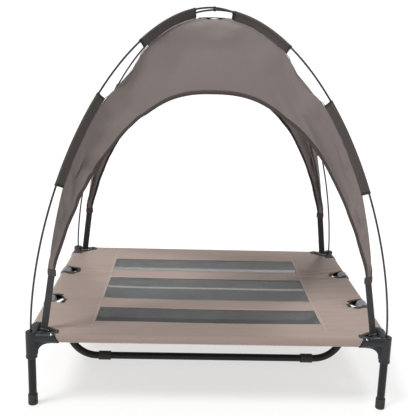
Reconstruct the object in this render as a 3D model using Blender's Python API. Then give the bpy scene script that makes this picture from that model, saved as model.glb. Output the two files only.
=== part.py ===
"""Raised dog bed: a tube frame on four legs, a stretched cloth deck and a lift-off sun canopy.

Metres, +Z up. The origin is on the floor under the middle of the bed, X runs along the long
side and -Y is the front. Every corner is laid out from its leg's axis, so the four corners
are the same piece seen in a mirror.
"""
import bpy
import bmesh
from math import cos, hypot, pi, radians, sin, sqrt, tan
from mathutils import Matrix, Vector

# ---- driving dimensions -------------------------------------------------------------------
LEG_SPACING_X = 0.880           # between leg axes along the long side
LEG_SPACING_Y = 0.728           # between leg axes along the short side
RAIL_HEIGHT = 0.180             # rail axes above the floor
TUBE_RADIUS = 0.010             # every leg, rail and support bar
TUBE_WALL = 0.0012
CLEARANCE = 0.0006              # between a tube and the moulding or cloth around it
TOUCH_GAP = 0.0003              # between pieces that rest against each other
SIDES = 16                      # facets round a moulding or tube
SMALL_SIDES = 12                # facets round a button or a rod
OVERSHOOT = 0.010               # how far a cutter runs past the surface that it cuts
CHAMFER = 0.001                 # on moulded rims

# corner connector
SLEEVE_RADIUS = 0.0135          # moulding around the leg
SLEEVE_ABOVE_RAIL = 0.016
SLEEVE_BELOW_RAIL = 0.054
SLEEVE_RING = 0.0007            # raised ring at the sleeve's mouth
RING_LENGTH = 0.006
SOCKET_DEPTH = 0.0175           # for the pole, from the sleeve's top
LEG_INSERTION = 0.046           # of the leg, from the sleeve's mouth
ARM_RADIUS = 0.0130
COLLAR_RADIUS = 0.0140          # thicker mouth of each arm
COLLAR_START = 0.046            # from the leg's axis
COLLAR_TAPER = 0.002
ARM_REACH_TOP = 0.0585          # the mouth is cut at a slant
ARM_REACH_BOTTOM = 0.069
RAIL_START = 0.022              # from the leg's axis to the rail's end
GUSSET_REACH = 0.046
GUSSET_DROP = 0.031             # below the arm's underside
GUSSET_THICKNESS = 0.006
GUSSET_OVERLAP = 0.002          # into the sleeve and the arm
WEB_THICKNESS = 0.004           # plate across the inner corner, with the strap's slot
WEB_REACH_X = 0.054
WEB_REACH_Y = 0.044
WEB_START = 0.004               # inside the sleeve and the arms, so that the plate joins them
WEB_SQUARE_X = 0.020            # the plate's far corner is cut off between these two
WEB_SQUARE_Y = 0.016
FOOT_RADIUS = 0.012
FOOT_HEIGHT = 0.028
FOOT_SOLE = 0.004

# snap buttons that lock the long rails
BUTTON_RADIUS = 0.003
BUTTON_REACH = 0.051            # from the leg's axis along the rail
BUTTON_TILT = radians(48)       # above the horizontal
BUTTON_PROUD = 0.0026           # also its travel
BUTTON_FLANGE_RADIUS = 0.0045
BUTTON_FLANGE = 0.0012          # thickness
BUTTON_SLACK = 0.0005           # between the flange's rim and the inside of the tube
BUTTON_DOME = 0.0016
BUTTON_HOLE = (0.004, 0.020)    # ends of the hole's cutter, from the rail's axis
BUTTON_HOLE_RADIUS = 0.0034

# support bars
BAR_Y = 0.126                   # each side of the middle
BAR_HEIGHT = 0.0205             # axis of the straight part above the floor
BAR_SLOPE = radians(63)         # of the arms, below the horizontal
BAR_BEND = 0.080
BAR_START = 0.0138              # from the side rail's axis
PAD_INSET = 0.021               # from the bend's start to the middle of a pad
PAD_LENGTH = 0.034
PAD_RADIUS = 0.0128
CLAMP_RADIUS = 0.0155
CLAMP_LENGTH = 0.040
CLAMP_CHAMFER = 0.0015
CLAMP_SOCKET_RADIUS = 0.0145
CLAMP_SOCKET_REACH = 0.046

# bed cloth
CLOTH_THICKNESS = 0.0016
CLOTH_LIFT = 0.0002             # of the flat cloth's top above a rail's
CLOTH_SLEEVE_WALL = 0.0016
SLEEVE_END = 0.0715             # cloth sleeve's end from the leg's axis
CORNER_CUT_X = 0.056
CORNER_CUT_Y = 0.046
CORNER_SIDE = 0.015             # the cloth's distance from an arm's axis
CUTOUT_REACH = 0.045
CUTOUT_HALF_WIDTH = 0.0245
STRIP_HALF_LENGTH = 0.296
MIDDLE_STRIP_HALF_WIDTH = 0.0925
OUTER_STRIP_CENTRE = 0.214
OUTER_STRIP_HALF_WIDTH = 0.054
MESH_THICKNESS = 0.0008

# canopy
POLE_RADIUS = 0.0025
POLE_APEX = 0.9898              # axis of the upper pole at the crossing
POLE_SQUARENESS_R = 1.945       # exponents of the pole's bow
POLE_SQUARENESS_Z = 1.7276
POLE_STEPS = 24                 # from a foot to the apex
UPPER_SLEEVE = (17, 22)         # steps covered by the upper and the lower cloth sleeve
LOWER_SLEEVE = (8, 13)
FIN_WIDTH = 0.0185              # sleeve's width inwards from the pole's axis
FIN_EDGE = 0.0009
POCKET_RADIUS = 0.0032
POCKET_WALL = 0.0009
POCKET_SIDES = 8
GORE_THICKNESS = 0.0012
SEAM_OFFSET = 0.0195            # from the pole's axis to the panels' seam
SEAM_GAP = 0.003
CROWN_SAG = 0.006               # the panels hang a little lower where the poles cross
CROWN_START = 0.85              # of the way from a foot to the apex, where that sag begins
HEM_TOP = 0.783
HEM_CURVE = 2.5
TAIL_HEIGHT = 0.334             # lower end of the panels' corner tails
TAIL_OUTER = 0.910              # of the half diagonal
TAIL_BULGE = 0.0045
TAIL_HEM_X = 0.388
TAIL_HEM_Y = 0.317
GORE_COLUMNS = 20
GORE_ROWS = 4
STRAP_WIDTH = 0.020
STRAP_THICKNESS = 0.0014
STRAP_TURN = radians(25)        # of its flat side, away from facing the front
STRAP_TOP_PLACE = 0.8935        # of the half diagonal
STRAP_TOP_GAP = 0.002           # below the tail
STRAP_FOOT = (0.0278, 0.023)    # from the leg's axis, inwards
STRAP_ABOVE_RAIL = 0.0125
KEEPER_HEAD = (0.025, 0.0040)   # width and height of the steel keeper's head
KEEPER_STEM = (0.016, 0.031)
KEEPER_THICKNESS = 0.0016
SLOT_CLEARANCE = 0.0008

# ---- worked out from the driving dimensions -------------------------------------------------
HALF_X = LEG_SPACING_X / 2
HALF_Y = LEG_SPACING_Y / 2
HALF_DIAGONAL = hypot(HALF_X, HALF_Y)
BORE_RADIUS = TUBE_RADIUS + CLEARANCE
SLEEVE_TOP = RAIL_HEIGHT + SLEEVE_ABOVE_RAIL
SLEEVE_BOTTOM = RAIL_HEIGHT - SLEEVE_BELOW_RAIL
STRAP_BOTTOM = RAIL_HEIGHT + STRAP_ABOVE_RAIL
CLOTH_TOP = TUBE_RADIUS + CLOTH_LIFT            # above the rail axes
CLOTH_EDGE = sqrt((BORE_RADIUS + CLOTH_SLEEVE_WALL / 2) ** 2 - (CLOTH_TOP - CLOTH_THICKNESS / 2) ** 2)
BAR_FLAT_HALF = HALF_X - (RAIL_HEIGHT - BAR_HEIGHT) / tan(BAR_SLOPE) - BAR_BEND * tan(BAR_SLOPE / 2)
CORNERS = {"front_left": (-1, -1), "front_right": (1, -1), "rear_left": (-1, 1), "rear_right": (1, 1)}
X_AXIS, Y_AXIS, Z_AXIS = Vector((1, 0, 0)), Vector((0, 1, 0)), Vector((0, 0, 1))


# ---- helpers --------------------------------------------------------------------------------
def clear_scene():
    for old in list(bpy.data.objects):
        bpy.data.objects.remove(old, do_unlink=True)


def finish_material(name, colour, roughness, metallic=0.0):
    material = bpy.data.materials.new(name)
    material.use_nodes = True
    shader = material.node_tree.nodes["Principled BSDF"]
    shader.inputs["Base Color"].default_value = (*colour, 1.0)
    shader.inputs["Roughness"].default_value = roughness
    shader.inputs["Metallic"].default_value = metallic
    return material


def make(name, shape, material, origin=(0, 0, 0), parent=None):
    """Turn a bmesh in world coordinates into a named object with its origin where asked."""
    bmesh.ops.recalc_face_normals(shape, faces=shape.faces)
    if shape.calc_volume(signed=True) < 0:
        bmesh.ops.reverse_faces(shape, faces=shape.faces)
    bmesh.ops.translate(shape, verts=shape.verts, vec=-Vector(origin))
    mesh = bpy.data.meshes.new(name)
    shape.to_mesh(mesh)
    shape.free()
    piece = bpy.data.objects.new(name, mesh)
    bpy.context.scene.collection.objects.link(piece)
    piece.location = origin
    if parent is not None:
        piece.parent = parent
        piece.matrix_parent_inverse = Matrix.Translation(-parent.location)
    if material is not None:
        mesh.materials.append(material)
        mesh.shade_smooth()
        mesh.set_sharp_from_angle(angle=radians(40))
    return piece


def boolean(piece, operation, shape):
    """Add a shape to a piece, or cut it away, with a hidden helper object."""
    helper = make(f"{piece.name}_{operation.lower()}_{len(piece.modifiers)}", shape, None)
    helper.hide_render = True
    helper.hide_set(True)
    helper.display_type = "WIRE"
    step = piece.modifiers.new(operation.lower(), "BOOLEAN")
    step.operation = operation
    step.solver = "EXACT"
    step.object = helper


def turned(profile, origin, direction, sides=SIDES):
    """Spin a (radius, height) profile about an axis: a solid if it starts on it, or a closed ring."""
    shape = bmesh.new()
    solid = profile[0][0] == 0
    outline = profile[1:] if solid else profile
    flat_top = solid and outline[-1][0] == 0 and outline[-1][1] == outline[-2][1]
    if flat_top:
        outline = outline[:-1]
    points = [shape.verts.new((radius, 0, height)) for radius, height in outline]
    pairs = zip(points, points[1:]) if solid else zip(points, points[1:] + points[:1])
    edges = [shape.edges.new(pair) for pair in pairs]
    bmesh.ops.spin(shape, geom=points + edges, cent=(0, 0, 0), axis=(0, 0, 1), angle=2 * pi,
                   steps=sides, use_merge=True, use_duplicate=False)
    bmesh.ops.remove_doubles(shape, verts=shape.verts, dist=1e-6)
    bmesh.ops.holes_fill(shape, edges=shape.edges)
    turn = Z_AXIS.rotation_difference(Vector(direction)).to_matrix().to_4x4()
    shape.transform(Matrix.Translation(Vector(origin)) @ turn)
    return shape


def rod(start, end, radius, sides=SIDES):
    start, end = Vector(start), Vector(end)
    length = (end - start).length
    return turned([(0, 0), (radius, 0), (radius, length), (0, length)], start, end - start, sides)


def pipe(start, end, outer, inner, sides=SIDES):
    start, end = Vector(start), Vector(end)
    length = (end - start).length
    profile = [(inner, 0), (outer, 0), (outer, length), (inner, length)]
    return turned(profile, start, end - start, sides)


def box(low, high):
    shape = bmesh.new()
    bmesh.ops.create_cube(shape, size=1.0)
    low, high = Vector(low), Vector(high)
    bmesh.ops.scale(shape, verts=shape.verts, vec=high - low)
    bmesh.ops.translate(shape, verts=shape.verts, vec=(low + high) / 2)
    return shape


def prism(outline, thickness):
    """Extrude a closed outline of points along a vector."""
    shape = bmesh.new()
    face = shape.faces.new([shape.verts.new(point) for point in outline])
    grown = bmesh.ops.extrude_face_region(shape, geom=[face])
    raised = [item for item in grown["geom"] if isinstance(item, bmesh.types.BMVert)]
    bmesh.ops.translate(shape, verts=raised, vec=thickness)
    return shape


def skin(shape, near, far):
    """Quads between two closed loops of vertices with the same count."""
    count = len(near)
    for i in range(count):
        after = (i + 1) % count
        shape.faces.new((near[i], near[after], far[after], far[i]))


def swept(stations, outer, inner):
    """Sweep a hollow section along stations, each an (origin, across, upwards) frame."""
    shape = bmesh.new()

    def rings(outline):
        return [[shape.verts.new(origin + across * u + upwards * v) for u, v in outline]
                for origin, across, upwards in stations]

    outside, inside = rings(outer), rings(inner)
    for wall in (outside, inside):
        for near, far in zip(wall, wall[1:]):
            skin(shape, near, far)
    for end in (0, -1):
        skin(shape, outside[end], inside[end])
    return shape


def circle(radius, sides):
    return [(radius * cos(2 * pi * i / sides), radius * sin(2 * pi * i / sides)) for i in range(sides)]


def at_corner(corner, inward_x, inward_y, height):
    """A point given by its distances inwards from a corner's leg axis."""
    side_x, side_y = corner
    return Vector((side_x * (HALF_X - inward_x), side_y * (HALF_Y - inward_y), height))


def tube_profile():
    return TUBE_RADIUS, TUBE_RADIUS - TUBE_WALL


# ---- frame ----------------------------------------------------------------------------------
def arm(corner, along_x):
    """One arm of a connector: thin, then a collar whose mouth is cut at a slant."""
    towards = (1, 0) if along_x else (0, 1)
    foot = at_corner(corner, 0, 0, RAIL_HEIGHT)
    tip = at_corner(corner, *towards, RAIL_HEIGHT)
    length = ARM_REACH_BOTTOM + OVERSHOOT
    profile = [(0, 0), (ARM_RADIUS, 0), (ARM_RADIUS, COLLAR_START),
               (COLLAR_RADIUS, COLLAR_START + COLLAR_TAPER), (COLLAR_RADIUS, length), (0, length)]
    shape = turned(profile, foot, tip - foot)
    direction = (tip - foot).normalized()
    mouth = (ARM_REACH_TOP + ARM_REACH_BOTTOM) / 2
    slant = (ARM_REACH_BOTTOM - ARM_REACH_TOP) / (2 * COLLAR_RADIUS)
    cut = bmesh.ops.bisect_plane(
        shape, geom=shape.verts[:] + shape.edges[:] + shape.faces[:], dist=1e-7,
        plane_co=foot + direction * mouth, plane_no=direction + Z_AXIS * slant, clear_outer=True)
    rim = [item for item in cut["geom_cut"] if isinstance(item, bmesh.types.BMEdge)]
    bmesh.ops.edgenet_fill(shape, edges=rim)
    return shape


def gusset(corner, along_x):
    """A plate in the angle between the sleeve and an arm, with a hollow curved edge."""
    high = RAIL_HEIGHT - ARM_RADIUS + GUSSET_OVERLAP
    low = RAIL_HEIGHT - ARM_RADIUS - GUSSET_DROP
    inner = SLEEVE_RADIUS - GUSSET_OVERLAP
    steps = 6
    curve = [(GUSSET_REACH - (GUSSET_REACH - inner) * sin(pi / 2 * i / steps),
              low + (high - low) * cos(pi / 2 * i / steps)) for i in range(steps + 1)]
    inside_arm = high + 2 * GUSSET_OVERLAP
    outline = [(inner, inside_arm), (GUSSET_REACH, inside_arm)] + curve
    half = GUSSET_THICKNESS / 2
    if along_x:
        points = [at_corner(corner, reach, -half, z) for reach, z in outline]
        thickness = at_corner(corner, 0, half, 0) - at_corner(corner, 0, -half, 0)
    else:
        points = [at_corner(corner, -half, reach, z) for reach, z in outline]
        thickness = at_corner(corner, half, 0, 0) - at_corner(corner, -half, 0, 0)
    return prism(points, thickness)


def strap_across(corner):
    """Direction of a strap's width, which a keeper and its slot share."""
    side_x, side_y = corner
    return Vector((cos(STRAP_TURN), -side_x * side_y * sin(STRAP_TURN), 0))


def button_direction(side_y):
    return Vector((0, side_y * cos(BUTTON_TILT), sin(BUTTON_TILT)))


def slab(centre_low, centre_high, across, width, thickness):
    """A flat bar between two centre points, with its width along a horizontal direction."""
    along = (centre_high - centre_low).normalized()
    half = across * width / 2
    out = along.cross(across).normalized() * thickness
    outline = [centre_low - half, centre_low + half, centre_high + half, centre_high - half]
    return prism([point - out / 2 for point in outline], out)


def connector(name, corner, material):
    axis = at_corner(corner, 0, 0, 0)
    ring = SLEEVE_RADIUS + SLEEVE_RING
    profile = [(0, SLEEVE_BOTTOM), (ring - CHAMFER, SLEEVE_BOTTOM), (ring, SLEEVE_BOTTOM + CHAMFER),
               (ring, SLEEVE_BOTTOM + RING_LENGTH), (SLEEVE_RADIUS, SLEEVE_BOTTOM + RING_LENGTH + CHAMFER),
               (SLEEVE_RADIUS, SLEEVE_TOP - CHAMFER), (SLEEVE_RADIUS - CHAMFER, SLEEVE_TOP), (0, SLEEVE_TOP)]
    piece = make(f"corner_{name}", turned(profile, axis, Z_AXIS), material)
    for along_x in (True, False):
        boolean(piece, "UNION", arm(corner, along_x))
        boolean(piece, "UNION", gusset(corner, along_x))
    low = RAIL_HEIGHT - WEB_THICKNESS / 2
    web = [(WEB_START, WEB_START), (WEB_REACH_X, WEB_START), (WEB_REACH_X, WEB_SQUARE_Y),
           (WEB_SQUARE_X, WEB_REACH_Y), (WEB_START, WEB_REACH_Y)]
    boolean(piece, "UNION", prism([at_corner(corner, *spot, low) for spot in web], Z_AXIS * WEB_THICKNESS))

    leg_top = SLEEVE_BOTTOM + LEG_INSERTION
    below = axis + Z_AXIS * (SLEEVE_BOTTOM - OVERSHOOT)
    boolean(piece, "DIFFERENCE", rod(below, axis + Z_AXIS * leg_top, BORE_RADIUS))
    for reach_x, reach_y in ((1, 0), (0, 1)):
        near, far = RAIL_START - TOUCH_GAP, ARM_REACH_BOTTOM + OVERSHOOT
        inner = at_corner(corner, reach_x * near, reach_y * near, RAIL_HEIGHT)
        outer = at_corner(corner, reach_x * far, reach_y * far, RAIL_HEIGHT)
        boolean(piece, "DIFFERENCE", rod(inner, outer, BORE_RADIUS))
    socket = axis + Z_AXIS * (SLEEVE_TOP - SOCKET_DEPTH)
    above = axis + Z_AXIS * (SLEEVE_TOP + OVERSHOOT)
    boolean(piece, "DIFFERENCE", rod(socket, above, POLE_RADIUS + CLEARANCE, SMALL_SIDES))
    foot = at_corner(corner, *STRAP_FOOT, RAIL_HEIGHT)
    slot = slab(foot - Z_AXIS * OVERSHOOT, foot + Z_AXIS * OVERSHOOT, strap_across(corner),
                KEEPER_STEM[0] + 2 * SLOT_CLEARANCE, KEEPER_THICKNESS + 2 * SLOT_CLEARANCE)
    boolean(piece, "DIFFERENCE", slot)
    boolean(piece, "DIFFERENCE", button_hole(corner))
    return piece


def button_hole(corner):
    spot = at_corner(corner, BUTTON_REACH, 0, RAIL_HEIGHT)
    outwards = button_direction(corner[1])
    inner, outer = BUTTON_HOLE
    return rod(spot + outwards * inner, spot + outwards * outer, BUTTON_HOLE_RADIUS, SMALL_SIDES)


def snap_button(name, corner, material):
    spot = at_corner(corner, BUTTON_REACH, 0, RAIL_HEIGHT)
    outwards = button_direction(corner[1])
    crown = COLLAR_RADIUS + BUTTON_PROUD
    flange_high = sqrt((TUBE_RADIUS - TUBE_WALL - BUTTON_SLACK) ** 2 - BUTTON_FLANGE_RADIUS ** 2)
    flange_low = flange_high - BUTTON_FLANGE
    angles = (0, pi / 6, pi / 3)
    dome = [(BUTTON_RADIUS * cos(angle), crown - BUTTON_DOME * (1 - sin(angle))) for angle in angles]
    dome.append((0, crown))
    profile = [(0, flange_low), (BUTTON_FLANGE_RADIUS, flange_low), (BUTTON_FLANGE_RADIUS, flange_high),
               (BUTTON_RADIUS, flange_high)] + dome
    return make(f"snap_button_{name}", turned(profile, spot, outwards, SMALL_SIDES), material,
                origin=spot + outwards * crown)


def leg(name, corner, material):
    low = at_corner(corner, 0, 0, FOOT_SOLE + TOUCH_GAP)
    high = at_corner(corner, 0, 0, SLEEVE_BOTTOM + LEG_INSERTION - TOUCH_GAP)
    return make(f"leg_{name}", pipe(low, high, *tube_profile()), material)


def foot_cap(name, corner, material):
    profile = [(0, 0), (FOOT_RADIUS - CHAMFER, 0), (FOOT_RADIUS, CHAMFER),
               (FOOT_RADIUS, FOOT_HEIGHT - CHAMFER), (FOOT_RADIUS - CHAMFER / 2, FOOT_HEIGHT),
               (BORE_RADIUS, FOOT_HEIGHT), (BORE_RADIUS, FOOT_SOLE), (0, FOOT_SOLE)]
    return make(f"foot_cap_{name}", turned(profile, at_corner(corner, 0, 0, 0), Z_AXIS), material)


def rails(material):
    for name, side in (("front", -1), ("rear", 1)):
        start = at_corner((-1, side), RAIL_START, 0, RAIL_HEIGHT)
        end = at_corner((1, side), RAIL_START, 0, RAIL_HEIGHT)
        piece = make(f"{name}_rail", pipe(start, end, *tube_profile()), material)
        for side_x in (-1, 1):
            boolean(piece, "DIFFERENCE", button_hole((side_x, side)))
    for name, side in (("left", -1), ("right", 1)):
        start = at_corner((side, -1), 0, RAIL_START, RAIL_HEIGHT)
        end = at_corner((side, 1), 0, RAIL_START, RAIL_HEIGHT)
        make(f"{name}_rail", pipe(start, end, *tube_profile()), material)


def bar_path():
    """Half of a support bar's axis, from the side rail down to the floor, as (x, z) points."""
    start = (HALF_X - BAR_START * cos(BAR_SLOPE), RAIL_HEIGHT - BAR_START * sin(BAR_SLOPE))
    centre = (BAR_FLAT_HALF, BAR_HEIGHT + BAR_BEND)
    steps = 5
    bend = [(centre[0] + BAR_BEND * sin(BAR_SLOPE * (1 - i / steps)),
             centre[1] - BAR_BEND * cos(BAR_SLOPE * (1 - i / steps))) for i in range(steps + 1)]
    return [start] + bend


def support_bar(name, y, material):
    half = bar_path()
    path = [Vector((x, y, z)) for x, z in half] + [Vector((-x, y, z)) for x, z in reversed(half)]
    stations = []
    for i, point in enumerate(path):
        before = path[max(i - 1, 0)]
        after = path[min(i + 1, len(path) - 1)]
        across = (after - before).normalized().cross(Y_AXIS)
        stations.append((point, across, Y_AXIS))
    outer, inner = tube_profile()
    section = circle(outer, SMALL_SIDES), circle(inner, SMALL_SIDES)
    return make(f"{name}_support_bar", swept(stations, *section), material)


def floor_pad(name, side_x, y, material):
    """Rubber ring round a support bar: it meets the floor when the frame gives under a load."""
    start = Vector((side_x * (BAR_FLAT_HALF - PAD_INSET) - PAD_LENGTH / 2, y, BAR_HEIGHT))
    rim = PAD_RADIUS - CHAMFER
    profile = [(BORE_RADIUS, 0), (rim, 0), (PAD_RADIUS, CHAMFER), (PAD_RADIUS, PAD_LENGTH - CHAMFER),
               (rim, PAD_LENGTH), (BORE_RADIUS, PAD_LENGTH)]
    return make(f"floor_pad_{name}", turned(profile, start, X_AXIS), material)


def bar_clamp(name, side_x, y, material):
    """Barrel round the side rail with a socket for the support bar."""
    axis = Vector((side_x * HALF_X, y, RAIL_HEIGHT))
    inwards = Vector((-side_x * cos(BAR_SLOPE), 0, -sin(BAR_SLOPE)))
    half = CLAMP_LENGTH / 2
    rim = CLAMP_RADIUS - CLAMP_CHAMFER
    profile = [(0, 0), (rim, 0), (CLAMP_RADIUS, CLAMP_CHAMFER),
               (CLAMP_RADIUS, CLAMP_LENGTH - CLAMP_CHAMFER), (rim, CLAMP_LENGTH), (0, CLAMP_LENGTH)]
    piece = make(f"bar_clamp_{name}", turned(profile, axis - Y_AXIS * half, Y_AXIS), material)
    boolean(piece, "UNION", rod(axis, axis + inwards * CLAMP_SOCKET_REACH, CLAMP_SOCKET_RADIUS))
    past = Y_AXIS * (half + OVERSHOOT)
    boolean(piece, "DIFFERENCE", rod(axis - past, axis + past, BORE_RADIUS))
    bar_end = axis + inwards * (BAR_START - TOUCH_GAP)
    mouth = axis + inwards * (CLAMP_SOCKET_REACH + OVERSHOOT)
    boolean(piece, "DIFFERENCE", rod(bar_end, mouth, BORE_RADIUS))
    return piece


# ---- bed cloth ------------------------------------------------------------------------------
def cloth_outline(height):
    """The flat cloth with its corners cut back round the connectors."""
    corner_points = [(SLEEVE_END, CLOTH_EDGE), (SLEEVE_END, CORNER_SIDE), (CORNER_CUT_X, CORNER_SIDE),
                     (CORNER_SIDE, CORNER_CUT_Y), (CORNER_SIDE, SLEEVE_END), (CLOTH_EDGE, SLEEVE_END)]
    outline = []
    for corner, order in (((-1, -1), -1), ((-1, 1), 1), ((1, 1), -1), ((1, -1), 1)):
        spots = corner_points[::-1] if order > 0 else corner_points
        outline += [at_corner(corner, *spot, height) for spot in spots]
    return outline


def strips():
    """Name, centre and half width of each see-through strip."""
    return [("front", -OUTER_STRIP_CENTRE, OUTER_STRIP_HALF_WIDTH),
            ("middle", 0.0, MIDDLE_STRIP_HALF_WIDTH),
            ("rear", OUTER_STRIP_CENTRE, OUTER_STRIP_HALF_WIDTH)]


def bed_cloth(material):
    low = RAIL_HEIGHT + CLOTH_TOP - CLOTH_THICKNESS
    high = RAIL_HEIGHT + CLOTH_TOP
    piece = make("bed_cloth", prism(cloth_outline(low), Z_AXIS * CLOTH_THICKNESS), material)
    inner = BORE_RADIUS
    outer = inner + CLOTH_SLEEVE_WALL
    for side in (-1, 1):
        start, end = (at_corner((x, side), SLEEVE_END, 0, RAIL_HEIGHT) for x in (-1, 1))
        boolean(piece, "UNION", pipe(start, end, outer, inner))
        start, end = (at_corner((side, y), 0, SLEEVE_END, RAIL_HEIGHT) for y in (-1, 1))
        boolean(piece, "UNION", pipe(start, end, outer, inner))
    for _, centre, half in strips():
        boolean(piece, "DIFFERENCE", box((-STRIP_HALF_LENGTH, centre - half, low - OVERSHOOT),
                                         (STRIP_HALF_LENGTH, centre + half, high + OVERSHOOT)))
    for side_x in (-1, 1):
        for y in (-BAR_Y, BAR_Y):
            past = outer + OVERSHOOT
            near, far = sorted((side_x * (HALF_X - CUTOUT_REACH), side_x * (HALF_X + past)))
            boolean(piece, "DIFFERENCE", box((near, y - CUTOUT_HALF_WIDTH, RAIL_HEIGHT - past),
                                             (far, y + CUTOUT_HALF_WIDTH, RAIL_HEIGHT + past)))
    return piece


def mesh_strips(material):
    middle = RAIL_HEIGHT + CLOTH_TOP - CLOTH_THICKNESS / 2
    for name, centre, half in strips():
        reach = STRIP_HALF_LENGTH - TOUCH_GAP
        edge = half - TOUCH_GAP
        shape = box((-reach, centre - edge, middle - MESH_THICKNESS / 2),
                    (reach, centre + edge, middle + MESH_THICKNESS / 2))
        make(f"mesh_strip_{name}", shape, material)


# ---- canopy ---------------------------------------------------------------------------------
def bow_point(step, apex):
    """A point of a pole's bow as (distance from the middle, height) in its upright plane."""
    angle = pi / 2 * step / POLE_STEPS
    distance = HALF_DIAGONAL * max(cos(angle), 0.0) ** (2 / POLE_SQUARENESS_R)
    height = SLEEVE_TOP + (apex - SLEEVE_TOP) * sin(angle) ** (2 / POLE_SQUARENESS_Z)
    if step == POLE_STEPS:
        distance = 0.0
    return Vector((distance, height))


def bow_inwards(step, apex):
    """Unit direction from the bow towards the space under it."""
    along = bow_point(min(step + 1, POLE_STEPS), apex) - bow_point(max(step - 1, 0), apex)
    if step == POLE_STEPS:
        along = Vector((-1, 0))
    return Vector((-along.y, along.x)).normalized()


def on_diagonal(corner, distance, height):
    side_x, side_y = corner
    return Vector((side_x * HALF_X, side_y * HALF_Y, 0)) * (distance / HALF_DIAGONAL) + Z_AXIS * height


def diagonal_inwards(corner, step, apex):
    flat = bow_inwards(step, apex)
    return on_diagonal(corner, flat.x, flat.y)


def sideways(corner):
    """Horizontal direction across a corner's upright diagonal plane."""
    return on_diagonal(corner, 1, 0).cross(Z_AXIS).normalized()


POLES = {"upper": (("front_left", "rear_right"), POLE_APEX),
         "lower": (("front_right", "rear_left"), POLE_APEX - 2 * POLE_RADIUS - 2 * TOUCH_GAP)}


def pole(name, ends, apex, material, parent):
    foot = SLEEVE_TOP - SOCKET_DEPTH + TOUCH_GAP
    first, second = (CORNERS[end] for end in ends)
    path = [on_diagonal(first, HALF_DIAGONAL, foot)]
    path += [on_diagonal(first, *bow_point(step, apex)) for step in range(POLE_STEPS + 1)]
    path += [on_diagonal(second, *bow_point(step, apex)) for step in range(POLE_STEPS - 1, -1, -1)]
    path += [on_diagonal(second, HALF_DIAGONAL, foot)]
    curve = bpy.data.curves.new(f"pole_{name}", "CURVE")
    curve.dimensions = "3D"
    curve.bevel_depth = POLE_RADIUS
    curve.bevel_resolution = 2
    curve.use_fill_caps = True
    line = curve.splines.new("POLY")
    line.points.add(len(path) - 1)
    for place, point in zip(line.points, path):
        place.co = (*point, 1.0)
    curve.materials.append(material)
    piece = bpy.data.objects.new(f"pole_{name}", curve)
    bpy.context.scene.collection.objects.link(piece)
    piece.parent = parent
    piece.matrix_parent_inverse = Matrix.Translation(-parent.location)
    return piece


def fin_section():
    """Section of a pole sleeve: a pocket round the pole that flattens to a sewn edge."""
    outer_radius = POCKET_RADIUS + POCKET_WALL
    pocket = circle(POCKET_RADIUS, POCKET_SIDES)
    outline = []
    for u, v in circle(outer_radius, POCKET_SIDES):
        if u > 0.8 * outer_radius:
            outline.append((FIN_WIDTH, 0.0))
        elif u > 0.4 * outer_radius:
            outline.append((FIN_WIDTH - FIN_EDGE, FIN_EDGE if v > 0 else -FIN_EDGE))
        else:
            outline.append((u, v))
    return outline, pocket


def pole_sleeve(name, corner, apex, steps, material, parent):
    stations = []
    for step in range(steps[0], steps[1] + 1):
        inwards = diagonal_inwards(corner, step, apex)
        stations.append((on_diagonal(corner, *bow_point(step, apex)), inwards, sideways(corner)))
    return make(name, swept(stations, *fin_section()), material, parent=parent)


def seam_line():
    """The panels' corner seam in a diagonal plane, from the crown down to a tail's end."""
    apex = POLES["lower"][1]
    line = []
    for step in range(POLE_STEPS, LOWER_SLEEVE[0] - 1, -1):
        nearness = step / POLE_STEPS
        sag = CROWN_SAG * max(0.0, (nearness - CROWN_START) / (1 - CROWN_START))
        line.append(bow_point(step, apex) + bow_inwards(step, apex) * (SEAM_OFFSET + sag))
    line[0].x = 0.0
    start, end = line[-1], Vector((TAIL_OUTER * HALF_DIAGONAL, TAIL_HEIGHT))
    for share in (0.25, 0.5, 0.75, 1.0):
        point = start.lerp(end, share)
        point.x += TAIL_BULGE * 4 * share * (1 - share)
        line.append(point)
    return line


def look_up(pairs, value):
    """Linear interpolation in a list of (key, result) pairs with rising keys."""
    for (low, low_result), (high, high_result) in zip(pairs, pairs[1:]):
        if value <= high:
            share = (value - low) / (high - low) if high > low else 0.0
            return low_result + (high_result - low_result) * share
    return pairs[-1][1]


def gore(name, facing, material, parent):
    """One canopy panel: it spans two seams above and ends in an arched hem below."""
    seam = seam_line()
    height_at = [(point.x, point.y) for point in seam]
    distance_at = [(point.y, point.x) for point in reversed(seam)]
    faces_front = facing[1] != 0
    half, other = (HALF_X, HALF_Y) if faces_front else (HALF_Y, HALF_X)
    tail_hem = TAIL_HEM_X if faces_front else TAIL_HEM_Y
    side = facing[1] if faces_front else facing[0]
    share, other_share = half / HALF_DIAGONAL, other / HALF_DIAGONAL
    reach = (TAIL_OUTER * HALF_DIAGONAL - 2 * SEAM_GAP) * share

    shape = bmesh.new()
    bmesh.ops.create_grid(shape, x_segments=GORE_COLUMNS, y_segments=GORE_ROWS, size=1.0)
    for vert in shape.verts:
        across = reach * sin(pi / 2 * vert.co.x)
        upper = look_up(height_at, abs(across) / share + SEAM_GAP)
        drop = min(1.0, abs(across) / tail_hem) ** HEM_CURVE
        lower = HEM_TOP - (HEM_TOP - TAIL_HEIGHT) * drop
        height = lower + (upper - lower) * (vert.co.y + 1) / 2
        out = look_up(distance_at, height) * other_share * side
        vert.co = (across, out, height) if faces_front else (out, across, height)
    bmesh.ops.recalc_face_normals(shape, faces=shape.faces)
    outwards = sum((face.normal.dot(Vector((*facing, 1))) for face in shape.faces)) > 0
    if not outwards:
        bmesh.ops.reverse_faces(shape, faces=shape.faces)
    bmesh.ops.solidify(shape, geom=shape.faces[:], thickness=GORE_THICKNESS)
    return make(f"canopy_panel_{name}", shape, material, parent=parent)


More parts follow.
